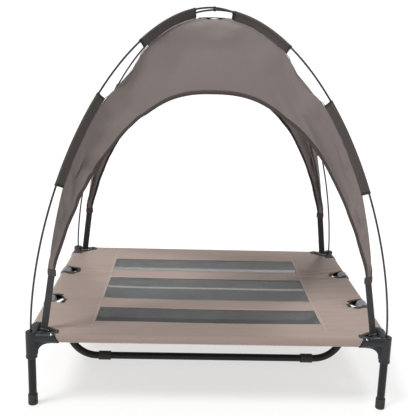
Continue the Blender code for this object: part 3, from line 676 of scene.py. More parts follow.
for name, (side_x, side_y) in CORNERS.items():
    spot = Vector((side_x * HALF_X, side_y * HALF_Y, 0))
    leg = as_object(f"steel_leg_{name}", aimed(turned(leg_profile()), spot, Z), coat)
    mount(leg, "bed", "black_coated_steel", f"leg_{name}")
    foot = as_object(f"rubber_foot_{name}", aimed(turned(foot_profile()), spot, Z), rubber)
    mount(foot, "bed", "black_rubber", f"foot_cap_{name}")
    way = Vector((0, side_y * cos(BUTTON_TILT), sin(BUTTON_TILT)))
    spot += Z * RAIL_Z - X * side_x * BUTTON_REACH
    button = as_object(f"steel_button_{name}", aimed(turned(button_profile(), 28), spot, way), steel)
    mount(button, f"snap_button_{name}", "bright_steel", f"snap_button_{name}")
print("legs", LEG_LOW, "to", round(LEG_TOP, 4), "feet to", round(FOOT_TOP, 4))

# %% [markdown]
# ## Bent support bars
# Each support bar is one tube bent twice. Tube is bent round a former, and the spin operator does just
# that: the end ring is swept about the bend's centre. Straight stretches are plain extrusions.

# %% Support bars
BAR_SLOPE, BEND_R, BAR_START = radians(63), 80 * MM, 13.8 * MM


def bent_bar(y):
    """Half a bar from the middle outwards, then its mirror image."""
    shape = bmesh.new()
    ring = bmesh.ops.create_circle(shape, segments=32, radius=TUBE_R)["verts"]
    turn = Matrix.Translation((0, y, BAR_Z)) @ Matrix.Rotation(pi / 2, 4, "Y")
    bmesh.ops.transform(shape, matrix=turn, verts=ring)
    drop = RAIL_Z - BAR_Z
    bend_x = HALF_X - drop / tan(BAR_SLOPE) - BEND_R * tan(BAR_SLOPE / 2)

    def pushed(edges, move):
        grown = bmesh.ops.extrude_edge_only(shape, edges=edges)["geom"]
        bmesh.ops.translate(shape, vec=move, verts=[v for v in grown if isinstance(v, bmesh.types.BMVert)])
        return [e for e in grown if isinstance(e, bmesh.types.BMEdge)]

    rim = pushed(shape.edges[:], X * bend_x)
    rim += [v for v in shape.verts if abs(v.co.x - bend_x) < 1e-6]
    centre = (bend_x, y, BAR_Z + BEND_R)
    bend = bmesh.ops.spin(shape, geom=rim, axis=-Y, cent=centre, angle=BAR_SLOPE, steps=14)
    rim = [e for e in bend["geom_last"] if isinstance(e, bmesh.types.BMEdge)]
    end = sum((e.verts[0].co for e in rim), Vector()) / len(rim)
    way = Vector((cos(BAR_SLOPE), 0, sin(BAR_SLOPE)))
    length = (Vector((HALF_X, y, RAIL_Z)) - end).dot(way) - BAR_START
    rim = pushed(rim, way * length)
    bmesh.ops.contextual_create(shape, geom=rim)
    bmesh.ops.mirror(shape, geom=shape.verts[:] + shape.edges[:] + shape.faces[:], axis="X", merge_dist=1e-5)
    return outwards(shape)


for name, y in (("front", -BAR_Y), ("rear", BAR_Y)):
    bar = as_object(f"bent_bar_{name}", bent_bar(y), coat)
    mount(bar, "bed", "black_coated_steel", f"{name}_support_bar")
print("support bars at y =", round(BAR_Y, 3), "axis", round(BAR_Z, 4), "above the floor")

# %% [markdown]
# ## Floor pads
# A rubber ring is pushed onto each end of a bar's straight part, so that the steel never meets the
# floor. It is spun from a profile with rounded rims and three grooves.

# %% Floor pads
PAD_X = middle("floor_pad_rear_right").x
PAD_LENGTH, PAD_R = size("floor_pad_rear_right").x, size("floor_pad_rear_right").y / 2


def pad_profile():
    bore, rim, groove = TUBE_R + 0.2 * MM, 1.0 * MM, 0.6 * MM
    profile = [(bore, 0), (PAD_R - rim, 0), (PAD_R - 0.3 * rim, 0.3 * rim), (PAD_R, rim)]
    for share in (0.25, 0.5, 0.75):
        spot = PAD_LENGTH * share
        profile += [(PAD_R, spot - 1.2 * MM), (PAD_R - groove, spot - 0.6 * MM),
                    (PAD_R - groove, spot + 0.6 * MM), (PAD_R, spot + 1.2 * MM)]
    return profile + [(PAD_R, PAD_LENGTH - rim), (PAD_R - 0.3 * rim, PAD_LENGTH - 0.3 * rim),
                      (PAD_R - rim, PAD_LENGTH), (bore, PAD_LENGTH)]


for name, (side_x, side_y) in CORNERS.items():
    start = Vector((side_x * PAD_X - PAD_LENGTH / 2, side_y * BAR_Y, BAR_Z))
    pad = as_object(f"rubber_pad_{name}", aimed(turned(pad_profile()), start, X), rubber)
    mount(pad, "bed", "black_rubber", f"floor_pad_{name}")
print("floor pads at x =", round(PAD_X, 3))

# %% [markdown]
# ## Saddle clamps
# A support bar hangs from each side rail in a saddle clamp: a barrel round the rail, and a socket that
# points down along the bar. They are melted together as the corners are. The barrel shows in the
# cloth's cut-outs and is painted a shiny mid grey, as a painted highlight on its black nylon, while the
# socket under the cloth is plain black nylon.

# %% Saddle clamps
CLAMP_R, CLAMP_LENGTH, SOCKET_R, SOCKET_REACH = 15.5 * MM, 40 * MM, 14.5 * MM, 46 * MM


def clamp(side_x, side_y):
    axis = Vector((side_x * HALF_X, side_y * BAR_Y, RAIL_Z))
    barrel = rod(axis - Y * CLAMP_LENGTH / 2, axis + Y * CLAMP_LENGTH / 2, CLAMP_R, 1.5 * MM)
    inwards = Vector((-side_x * cos(BAR_SLOPE), 0, -sin(BAR_SLOPE)))
    return joined(barrel, rod(axis, axis + inwards * SOCKET_REACH, SOCKET_R, 1 * MM))


for name, (side_x, side_y) in CORNERS.items():
    saddle = as_object(f"saddle_clamp_{name}", clamp(side_x, side_y), [saddle_painted_highlight, nylon])
    melt(saddle, 0.9 * MM, 4)
    baked(saddle)
    # The barrel's faces take the painted highlight grey, the socket's faces the black nylon.
    for face in saddle.data.polygons:
        from_rail = hypot(abs(face.center.x) - HALF_X, face.center.z - RAIL_Z)
        face.material_index = 0 if from_rail < CLAMP_R + 0.4 * MM else 1
    mount(saddle, "bed", "black_moulding", f"bar_clamp_{name}")
print("saddle clamps:", len(saddle.data.polygons), "faces each")

# %% [markdown]
# ## Rails
# The rails hide inside the cloth, and show only in the cut-outs round the clamps. Their frame parts are
# already true tubes, so they stay and only get the powder coat.

# %% Coat the rails
for name in ("front_rail", "rear_rail", "left_rail", "right_rail"):
    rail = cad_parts[name]
    rail.data.materials.clear()
    rail.data.materials.append(coat.material)
print("rails coated")

# %% [markdown]
# ## The lie of the deck
# The deck is cloth stretched between four rails. It rests on the top of each rail and sags about a
# centimetre in the middle. Pulled hardest between the clamps, the side panels wrinkle along the pull, and
# each line of stitches gathers the cloth a little. One function gives this height, and everything that
# is sewn to the deck asks it where the cloth is.

# %% Height of the deck
CLOTH_R = 11.4 * MM             # middle of the cloth's thickness, from a rail's axis
DECK_THICKNESS = 1.0 * MM
DECK_SAG = 14 * MM
WRINKLE_HEIGHT = 4 * MM
HEM_REACH = 52 * MM             # from a rail's axis to the line that closes its sleeve
STRIP_HALF_LENGTH = size("mesh_strip_front").x / 2
STRIPS = {name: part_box(f"mesh_strip_{name}") for name in ("front", "middle", "rear")}
SIDE_SEAM = STRIP_HALF_LENGTH + 3 * MM


def smooth_step(low, high, value):
    share = min(1.0, max(0.0, (value - low) / (high - low)))
    return share * share * (3 - 2 * share)


def pull_wrinkles(x, y):
    """Ridges along the pull of the side panels, strongest near the clamps."""
    reach, from_clamp = abs(x), abs(y) - BAR_Y
    window = smooth_step(SIDE_SEAM - 30 * MM, SIDE_SEAM + 25 * MM, reach)
    window *= smooth_step(HALF_X, HALF_X - 30 * MM, reach)
    near_clamp = max(0.0, 1 - abs(from_clamp) / 0.11)
    drift = noise.noise(Vector((x * 5, y * 16, 3.1)))
    ridge = noise.noise(Vector((x * 2.2, y * 38 + drift * 1.4, 7.7))) * (0.5 + 1.1 * near_clamp)
    fan = sin(from_clamp * 210 + drift * 4) * smooth_step(0.07, 0.0, abs(from_clamp)) * 0.55
    return window * (ridge + fan * smooth_step(0.30, 0.40, reach)) * WRINKLE_HEIGHT


def puckers(distance, along, strength=0.35 * MM):
    """Small gathers beside a line of stitches."""
    fade = max(0.0, 1 - distance / (14 * MM))
    return strength * fade * fade * (noise.noise(Vector((along * 85, distance * 20, 1.3))) - 0.15)


def deck_height(x, y):
    """Height of the middle of the deck's thickness."""
    sag = DECK_SAG * (1 - min(1.0, abs(x) / HALF_X) ** 5) * (1 - min(1.0, abs(y) / HALF_Y) ** 3)
    slow = noise.noise(Vector((x * 4.5, y * 6, 0.4))) * 1.1 * MM
    inner = smooth_step(HALF_X, HALF_X - 60 * MM, abs(x)) * smooth_step(HALF_Y, HALF_Y - 60 * MM, abs(y))
    height = RAIL_Z + CLOTH_R - sag + slow * inner + pull_wrinkles(x, y)
    height += puckers(abs(abs(x) - (HALF_X - HEM_REACH)), y) + puckers(abs(abs(y) - (HALF_Y - HEM_REACH)), x)
    if abs(x) < HALF_X - HEM_REACH:
        height += puckers(abs(abs(x) - SIDE_SEAM), y, 0.5 * MM)
    if abs(x) < SIDE_SEAM:
        for low, high in STRIPS.values():
            height += puckers(min(abs(y - low.y), abs(y - high.y)), x, 0.5 * MM)
    return height


print("deck: middle at", round(deck_height(0, 0), 4), "m, rails at", round(deck_height(HALF_X, 0), 4), "m")

# %% [markdown]
# ## Cutting the deck
# The cloth is cut flat, so the mesh starts flat: a grid, with straight cuts where the strips, the clamp
# cut-outs and the corners go. Its edges are then spun round the rails, as the cloth is folded round them,
# and brought back under the deck to the line of stitches that closes the sleeve.

# %% Deck
DECK_CELL = 5.5 * MM
SLEEVE_END = 59 * MM            # from a leg's axis to the cloth sleeve's end, along its top
SLEEVE_SLANT = 12.5 * MM        # how much later the sleeve starts along its underside
CUTOUT_REACH, CUTOUT_R = 37 * MM, 25.5 * MM
CUTOUT_SIDES = 10               # straight cuts round the cut-out's inner end
CORNER_SIDE, CORNER_CUT_X, CORNER_CUT_Y = 14.5 * MM, 54 * MM, 44 * MM


def cut_line(shape, place, normal, near=lambda vert: True):
    """A straight cut across the part of the cloth that is near."""
    verts = [vert for vert in shape.verts if near(vert)]
    chosen = set(verts)
    faces = [face for face in shape.faces if chosen.issuperset(face.verts)]
    edges = list({edge for face in faces for edge in face.edges})
    bmesh.ops.bisect_plane(shape, geom=verts + edges + faces, dist=1e-6, plane_co=place, plane_no=normal)


def cutout_angles():
    return [pi * ((i + 0.5) / CUTOUT_SIDES - 0.5) for i in range(CUTOUT_SIDES)]


def in_cutout(x, y, slack=0.0):
    """Inside a clamp's cut-out, which ends in half a circle."""
    inwards, across = HALF_X - CUTOUT_REACH + CUTOUT_R - abs(x), abs(y) - BAR_Y
    return abs(across) < CUTOUT_R + slack and all(
        inwards * cos(angle) + across * sin(angle) < CUTOUT_R + slack for angle in cutout_angles())


def in_strip(x, y):
    return any(low.x < x < high.x and low.y < y < high.y for low, high in STRIPS.values())


def in_corner(x, y):
    """The part of the cloth that is cut away round a corner moulding."""
    from_x, from_y = HALF_X - abs(x), HALF_Y - abs(y)
    if from_x > SLEEVE_END or from_y > SLEEVE_END:
        return False
    slope = (CORNER_CUT_Y - CORNER_SIDE) / (CORNER_CUT_X - CORNER_SIDE)
    return min(from_x, from_y) < CORNER_SIDE or from_y - CORNER_SIDE < slope * (CORNER_CUT_X - from_x)


def flat_deck():
    shape = bmesh.new()
    columns, rows = round(2 * HALF_X / DECK_CELL), round(2 * HALF_Y / DECK_CELL)
    bmesh.ops.create_grid(shape, x_segments=columns, y_segments=rows, size=1.0)
    bmesh.ops.scale(shape, vec=(HALF_X, HALF_Y, 1), verts=shape.verts)
    for side in (-1, 1):
        for reach in (STRIP_HALF_LENGTH, SIDE_SEAM, HALF_X - HEM_REACH, HALF_X - SLEEVE_END,
                      HALF_X - CORNER_SIDE, HALF_X - CORNER_CUT_X):
            cut_line(shape, X * side * reach, X)
        for reach in (HALF_Y - HEM_REACH, HALF_Y - SLEEVE_END, HALF_Y - CORNER_SIDE, HALF_Y - CORNER_CUT_Y,
                      BAR_Y - CUTOUT_R, BAR_Y + CUTOUT_R):
            cut_line(shape, Y * side * reach, Y)
        for other in (-1, 1):
            along = Vector((side * (CORNER_CUT_X - CORNER_SIDE), other * (CORNER_SIDE - CORNER_CUT_Y), 0))
            spot = Vector((side * (HALF_X - CORNER_CUT_X), other * (HALF_Y - CORNER_SIDE), 0))
            cut_line(shape, spot, along.cross(Z).normalized())
            centre = Vector((side * (HALF_X - CUTOUT_REACH + CUTOUT_R), other * BAR_Y, 0))
            for angle in cutout_angles():
                way = Vector((-side * cos(angle), other * sin(angle), 0))
                cut_line(shape, centre + way * CUTOUT_R, way,
                         lambda vert: (vert.co - centre).length < 2 * CUTOUT_R)
    for low, high in STRIPS.values():
        cut_line(shape, low, Y)
        cut_line(shape, high, Y)
    spare = [face for face in shape.faces if any(
        gone(*face.calc_center_median().xy) for gone in (in_strip, in_cutout, in_corner))]
    bmesh.ops.delete(shape, geom=spare, context="FACES")
    bmesh.ops.translate(shape, vec=Z * (RAIL_Z + CLOTH_R), verts=shape.verts)
    return shape


def fold_round_rail(shape, outward, axis_place):
    """Spins the edges over a rail round and under it, then brings them back to the closing line."""
    sweep = pi * 1.5 + atan2(CLOTH_R, HEM_REACH) - acos(CLOTH_R / hypot(HEM_REACH, CLOTH_R))
    edges = [edge for edge in shape.edges if edge.is_boundary
             and all(abs(v.co.dot(outward) - axis_place) < 1e-6 for v in edge.verts)]
    verts = list({vert for edge in edges for vert in edge.verts})
    centre = outward * axis_place + Z * RAIL_Z
    spun = bmesh.ops.spin(shape, geom=edges + verts, axis=Z.cross(outward), cent=centre, angle=sweep,
                          steps=16)
    rim = [edge for edge in spun["geom_last"] if isinstance(edge, bmesh.types.BMEdge)]
    for left in (2 / 3, 0.5, 0.0):      # how much of the way that remained still remains
        grown = bmesh.ops.extrude_edge_only(shape, edges=rim)["geom"]
        rim = [edge for edge in grown if isinstance(edge, bmesh.types.BMEdge)]
        for vert in (v for v in grown if isinstance(v, bmesh.types.BMVert)):
            vert.co += outward * (axis_place - HEM_REACH - vert.co.dot(outward)) * (1 - left)
            under = deck_height(vert.co.x, vert.co.y) - 1.7 * MM
            vert.co.z = under + (vert.co.z - under) * left


deck = flat_deck()
flat_area = sum(face.calc_area() for face in deck.faces)
top_verts = set(deck.verts)
for outward, place in ((X, HALF_X), (-X, HALF_X), (Y, HALF_Y), (-Y, HALF_Y)):
    fold_round_rail(deck, outward, place)
DECK_AREA = sum(face.calc_area() for face in deck.faces)
for vert in deck.verts:
    x, y, z = vert.co
    if vert in top_verts:
        vert.co.z = deck_height(x, y)
    else:
        if abs(y) > HALF_Y - HEM_REACH and abs(x) < HALF_X - SLEEVE_END + 1e-5:
            axis, way, half = Vector((x, copysign(HALF_Y, y), RAIL_Z)), X, HALF_X
        else:
            axis, way, half = Vector((copysign(HALF_X, x), y, RAIL_Z)), Y, HALF_Y
        away, along = vert.co - axis, vert.co.dot(way)
        if away.length < CLOTH_R + 1e-5:
            gather = noise.noise(Vector((along * 130, z * 30, 2.2))) * 0.5 * MM
            vert.co = axis + away.normalized() * (CLOTH_R + max(gather, -0.2 * MM))
        lower = min(1.0, (RAIL_Z + CLOTH_R - z) / (2 * CLOTH_R))
        slant = SLEEVE_SLANT * lower * smooth_step(5 * SLEEVE_SLANT, 0, half - SLEEVE_END - abs(along))
        vert.co -= way * copysign(slant, along)
print(f"deck cloth: {flat_area:.3f} m2 on top, {DECK_AREA:.3f} m2 with its sleeves")

# %% [markdown]
# ## A map for the weave
# The weave must follow the cloth round the rails, so the deck carries a map of where each point was in
# the flat cloth, in metres. Down the outside of a rail, the height takes over from the distance.


# %% Cloth map of the deck
def map_deck(shape):
    layer = shape.loops.layers.uv.new("cloth")
    top = RAIL_Z + CLOTH_R
    for face in shape.faces:
        centre = face.calc_center_median()
        for loop in face.loops:
            x, y, z = loop.vert.co
            down = top - z
            if abs(centre.y) > HALF_Y:
                y += down if y > 0 else -down
            elif abs(centre.x) > HALF_X:
                x += down if x > 0 else -down
            loop[layer].uv = (x, y)


def runs_of_edges(shape, wanted):
    """Chains of points along the boundary edges that are wanted."""
    links = {}
    for edge in shape.edges:
        if edge.is_boundary and wanted(edge):
            for vert, other in (edge.verts, reversed(edge.verts)):
                links.setdefault(vert, []).append(other)
    chains, used = [], set()
    for start in sorted(links, key=lambda vert: (len(links[vert]) != 1, vert.index)):
        if start in used:
            continue
        chain, vert = [start.co.copy()], start
        used.add(start)
        while True:
            following = [other for other in links[vert] if other not in used]
            if not following:
                break
            vert = following[0]
            used.add(vert)
            chain.append(vert.co.copy())
        chains.append((chain, start in links[vert] and len(chain) > 2))
    return chains


def piping(name, runs, radius, finish, resolution=1):
    """A round cord along chains of points, as a mesh."""
    data = bpy.data.curves.new(name, "CURVE")
    data.dimensions, data.bevel_depth, data.bevel_resolution = "3D", radius, resolution
    data.use_fill_caps = True
    for chain, closed in runs:
        line = data.splines.new("POLY")
        line.points.add(len(chain) - 1)
        for point, place in zip(line.points, chain):
            point.co = (*place, 1.0)
        line.use_cyclic_u = closed
    curve = bpy.data.objects.new(name, data)
    scene.collection.objects.link(curve)
    shape = bmesh.new()
    mesh = bpy.data.meshes.new_from_object(curve)
    shape.from_mesh(mesh)
    bpy.data.meshes.remove(mesh)
    bpy.data.objects.remove(curve)
    return as_object(name, shape, finish)


def edge_middle(edge):
    return (edge.verts[0].co + edge.verts[1].co) / 2


map_deck(deck)
deck.verts.index_update()


def on_cut_edge(edge):
    """The bound edges: round the clamps, and round the corners."""
    spot = edge_middle(edge)
    at_corner = max(HALF_X - abs(spot.x), HALF_Y - abs(spot.y)) < SLEEVE_END + 1e-4
    return at_corner or in_cutout(spot.x, spot.y, 0.1 * MM)


def on_strip_edge(edge):
    spot = edge_middle(edge)
    return abs(spot.x) < STRIP_HALF_LENGTH + 1e-4 and any(
        low.y - 1e-4 < spot.y < high.y + 1e-4 for low, high in STRIPS.values())


# Sections of the tapes, as (aside, up) points in millimetres from the edge.
BINDING = [(-0.9, 0), (-0.4, 0.95), (8.5, 0.85), (8.5, -0.85), (-0.4, -0.95)]
FLAP = [(-0.8, 0.8), (0.8, 0.8), (0.8, -10), (-0.8, -10)]
STRIP_HEM = [(-0.5, 0), (0, 0.85), (6.5, 0.75), (6.5, -0.4), (0, -0.85)]
FELLED_SEAM = [(-3.6, -0.3), (-3.2, 0.95), (3.2, 0.95), (3.6, -0.3)]


def cloth_up(spot):
    """Square to the cloth: away from a rail near it, and upright elsewhere."""
    side_rail = Vector((copysign(HALF_X, spot.x), spot.y, RAIL_Z))
    end_rail = Vector((spot.x, copysign(HALF_Y, spot.y), RAIL_Z))
    for axis in (side_rail, end_rail):
        if (spot - axis).length < CLOTH_R + 1.5 * MM:
            return (spot - axis).normalized()
    return Z


def away_from_hole(spot):
    at_clamp = abs(abs(spot.y) - BAR_Y) < 2 * CUTOUT_R
    hole = (HALF_X - CUTOUT_REACH + CUTOUT_R, BAR_Y) if at_clamp else (HALF_X, HALF_Y)
    return spot - Vector((copysign(hole[0], spot.x), copysign(hole[1], spot.y), spot.z))


def away_from_strip(spot):
    low, high = min(STRIPS.values(), key=lambda box: abs((box[0].y + box[1].y) / 2 - spot.y))
    inside = min(max(spot.x, low.x + 30 * MM), high.x - 30 * MM)
    return spot - Vector((inside, (low.y + high.y) / 2, spot.z))


def add_skin(shape, rings, closed=False):
    """Joins rings of (point, place in the flat cloth) pairs into a skin, with ends if it is open."""
    layer = shape.loops.layers.uv.get("cloth") or shape.loops.layers.uv.new("cloth")
    rings = [[(shape.verts.new(point), place) for point, place in ring] for ring in rings]
    faces = [] if closed else [rings[0], rings[-1]]
    for first, second in zip(rings if closed else rings[1:], rings[-1:] + rings if closed else rings):
        faces += [(first[i], first[i - 1], second[i - 1], second[i]) for i in range(len(first))]
    for corners in faces:
        face = shape.faces.new([vert for vert, _ in corners])
        for loop, (_, place) in zip(face.loops, corners):
            loop[layer].uv = place
    bmesh.ops.recalc_face_normals(shape, faces=shape.faces)
    return shape


def tape(name, runs, section, away, finish):
    """A tape of this section, sewn along chains of points, on the side that is away from a hole."""
    shape = bmesh.new()
    for chain, closed in runs:
        rings, run = [], 0.0
        for i, spot in enumerate(chain):
            before = chain[i - 1] if i or closed else spot
            after = chain[(i + 1) % len(chain)] if i < len(chain) - 1 or closed else spot
            up = cloth_up(spot)
            aside = (after - before).cross(up).normalized()
            aside *= copysign(1, aside.dot(away(spot)))
            run += (spot - before).length if i else 0.0
            rings.append([(spot + (aside * a + up * b) * MM, (a * MM, run)) for a, b in section])
        add_skin(shape, rings, closed)
    return as_object(name, shape, finish, radians(50))


bound_runs = runs_of_edges(deck, on_cut_edge)
strip_runs = runs_of_edges(deck, on_strip_edge)
deck_piece = as_object("deck_cloth", deck, deck_cloth, radians(60))
thicken(deck_piece, DECK_THICKNESS)
mount(baked(deck_piece), "bed", "taupe_cloth", "bed_cloth")
mount(tape("deck_binding", bound_runs, BINDING, away_from_hole, binding), "bed", "black_webbing")
flaps = []
for chain, _ in bound_runs:
    level = [spot for spot in chain if cloth_up(spot) == Z and abs(spot.y) > HALF_Y - SLEEVE_END - 1 * MM]
    if len(level) > 2:
        flaps.append((level, False))
mount(tape("corner_flaps", flaps, FLAP, away_from_hole, binding), "bed", "black_webbing")
mount(tape("strip_hems", strip_runs, STRIP_HEM, away_from_strip, deck_hem), "bed", "taupe_cloth")
seam_runs = []
for side in (-1, 1):
    places = [(side * (SIDE_SEAM + 1 * MM), (HALF_Y - HEM_REACH) * (i / 60 - 1)) for i in range(121)]
    seam_runs.append(([Vector((x, y, deck_height(x, y))) for x, y in places], False))
mount(tape("side_seams", seam_runs, FELLED_SEAM, lambda spot: X, deck_hem), "bed", "taupe_cloth")
print(len(deck_piece.data.polygons), "faces,", len(bound_runs), "bound edges,", len(strip_runs), "openings")

# %% [markdown]
# ## Netting strips
# Each strip is sewn under the edge of its opening, so it is a little larger than the opening and lies a
# millimetre lower. It follows the same sag, and its holes come from the finish.

# %% Netting strips
NET_MARGIN, NET_DROP = 7 * MM, 1.1 * MM
NET_CELL_X, NET_CELL_Y = 7 * MM, 5 * MM
for name, (low, high) in STRIPS.items():
    shape = bmesh.new()
    width, depth = high.x - low.x + 2 * NET_MARGIN, high.y - low.y + 2 * NET_MARGIN
    columns, rows = round(width / NET_CELL_X), round(depth / NET_CELL_Y)
    bmesh.ops.create_grid(shape, x_segments=columns, y_segments=rows, size=0.5)
    bmesh.ops.scale(shape, vec=(width, depth, 1), verts=shape.verts)
    bmesh.ops.translate(shape, vec=Y * (low.y + high.y) / 2, verts=shape.verts)
    for vert in shape.verts:
        vert.co.z = deck_height(vert.co.x, vert.co.y) - NET_DROP
    net = as_object(f"netting_{name}", shape, netting)
    mount(net, "bed", "grey_netting", f"mesh_strip_{name}")
print("netting strips:", list(STRIPS))

# %% [markdown]
# ## The bow of a rod
# Each rod is a straight glass-fibre stick, sprung into a bow between two opposite corners. Bent that
# way it is squarer than a circle and rounder than a box, and a superellipse says how much with two
# numbers. The rods cross at the top, one lying on the other, so their apexes differ by a rod's width.

# %% Bow and rods
BOW_R, BOW_Z = 1.945, 1.7276    # squareness of the bow outwards and upwards
SEAM_OFFSET = 19.5 * MM         # from a rod to the canopy's corner seam
CROWN_SAG = 6 * MM
UPPER_SLEEVE, LOWER_SLEEVE = (17 / 24, 22 / 24), (8 / 24, 13 / 24)
RODS = {"upper": ("front_left", "rear_right"), "lower": ("front_right", "rear_left")}
APEX = {corner: UPPER_APEX if corner in RODS["upper"] else LOWER_APEX for corner in CORNERS}


def bow(share, apex):
    """(distance from the middle, height) at a share of the way from a foot to the apex."""
    angle = pi / 2 * share
    distance = HALF_DIAGONAL * max(cos(angle), 0.0) ** (2 / BOW_R) if share < 1 else 0.0
    return Vector((distance, SLEEVE_TOP + (apex - SLEEVE_TOP) * sin(angle) ** (2 / BOW_Z)))


def bow_inwards(share, apex):
    """Square to the bow, towards the space under it."""
    if share >= 1:
        return Vector((0, -1))
    along = bow(min(share + 0.01, 1), apex) - bow(max(share - 0.01, 0), apex)
    return Vector((-along.y, along.x)).normalized()


def on_diagonal(corner, flat):
    """A (distance, height) point in a corner's upright diagonal plane."""
    side_x, side_y = CORNERS[corner]
    share = flat.x / HALF_DIAGONAL
    return Vector((side_x * HALF_X * share, side_y * HALF_Y * share, flat.y))


def sideways(corner):
    return on_diagonal(corner, Vector((1, 0))).cross(Z).normalized()


for name, (first, second) in RODS.items():
    half = [bow(i / 90, APEX[first]) for i in range(91)]
    foot = Vector((HALF_DIAGONAL, SLEEVE_TOP - 15 * MM))
    path = [on_diagonal(first, point) for point in [foot] + half]
    path += [on_diagonal(second, point) for point in half[-2::-1] + [foot]]
    bowed = piping(f"bowed_rod_{name}", [(path, False)], ROD_R, glass_rod, 3)
    mount(bowed, "canopy", "black_fibreglass", f"pole_{name}")
print("rods rise to", round(UPPER_APEX, 3), "m")

# %% [markdown]
# ## The canopy's seam and hem
# Four panels meet in a seam under each rod. Below the sleeves the seam runs straight down into a tail,
# which the corner strap pulls. Each panel's lower edge is an arch. Both lines are kept as points spaced
# evenly along their length, so that the panels' threads can be laid between them without bunching.

# %% Seam and hem lines
HEM_TOP, HEM_CURVE = 783 * MM, 2.5
TAIL_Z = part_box("canopy_panel_front")[0].z
TAIL_OUTER, TAIL_BULGE = 0.910, 4.5 * MM
HEM_WIDTH = 9.5 * MM
CUFF_REACH = 0.8935             # of the half diagonal
FLAT_TAIL = 70 * MM


class Line:
    """Points spaced evenly along a path, with a value that travels along with each."""

    def __init__(self, points, values=None):
        self.points, self.values, self.at = points, values or [0.0] * len(points), [0.0]
        for before, after in zip(points, points[1:]):
            self.at.append(self.at[-1] + (after - before).length)

    def spot(self, share):
        goal = min(max(share, 0.0), 1.0) * self.at[-1]
        for i in range(1, len(self.at)):
            if goal <= self.at[i] + 1e-12:
                step = (goal - self.at[i - 1]) / (self.at[i] - self.at[i - 1])
                value = self.values[i - 1] + (self.values[i] - self.values[i - 1]) * step
                return self.points[i - 1].lerp(self.points[i], step), value
        return self.points[-1], self.values[-1]


def seam_line():
    """Corner seam from the crown to the tail's end, with its share of the bow (0 in the tail)."""
    points, values = [], []
    for i in range(121):
        share = 1 - (1 - LOWER_SLEEVE[0]) * i / 120
        sag = CROWN_SAG * max(0.0, (share - 0.85) / 0.15)
        points.append(bow(share, LOWER_APEX) + bow_inwards(share, LOWER_APEX) * (SEAM_OFFSET + sag))
        values.append(share)
    points[0].x = 0.0
    start, end = points[-1], Vector((TAIL_OUTER * HALF_DIAGONAL, TAIL_Z))
    for i in range(1, 41):
        share = i / 40
        point = start.lerp(end, share)
        point.x += TAIL_BULGE * 4 * share * (1 - share)
        points.append(point)
        values.append(LOWER_SLEEVE[0] * (1 - share))
    return Line(points, values)


def hem_line(reach):
    """Half of a panel's arched lower edge, from the middle to the tail."""
    points = []
    for i in range(161):
        across = reach * sin(pi / 2 * i / 160)
        points.append(Vector((across, HEM_TOP - (HEM_TOP - TAIL_Z) * (across / reach) ** HEM_CURVE)))
    return Line(points)


SEAM = seam_line()
HEMS = {"long": hem_line(388 * MM), "short": hem_line(317 * MM)}


def seam_distance(height):
    """How far from the middle the seam is at a height."""
    points = SEAM.points
    for upper, lower in zip(points, points[1:]):
        if height >= lower.y:
            step = (upper.y - height) / max(upper.y - lower.y, 1e-9)
            return upper.x + (lower.x - upper.x) * max(step, 0.0)
    return points[-1].x


def cuff_place(corner):
    """Middle of a tail's lower end, just above the strap that pulls it."""
    return on_diagonal(corner, Vector((CUFF_REACH * HALF_DIAGONAL, TAIL_Z)))


def flattened(corner, spot):
    """Near its end a tail is pressed flat, square to the strap, for the cuff that is sewn on."""
    side_x, side_y = CORNERS[corner]
    facing = strap_across(side_x, side_y).cross(Z).normalized()
    depth = (spot - cuff_place(corner)).dot(facing)
    return spot - facing * depth * smooth_step(FLAT_TAIL, 0.0, spot.z - TAIL_Z)


print(f"seam {SEAM.at[-1]:.3f} m, hems {HEMS['long'].at[-1] * 2:.3f} and {HEMS['short'].at[-1] * 2:.3f} m")

# %% [markdown]
# ## Cutting and joining the four panels
# Every panel is a grid whose columns run from the hem up to the seam. The first row is as wide as the
# hem, and the rest share what is left. Neighbouring panels have the same points on their seam, so
# merging the doubles sews them into one sheet.

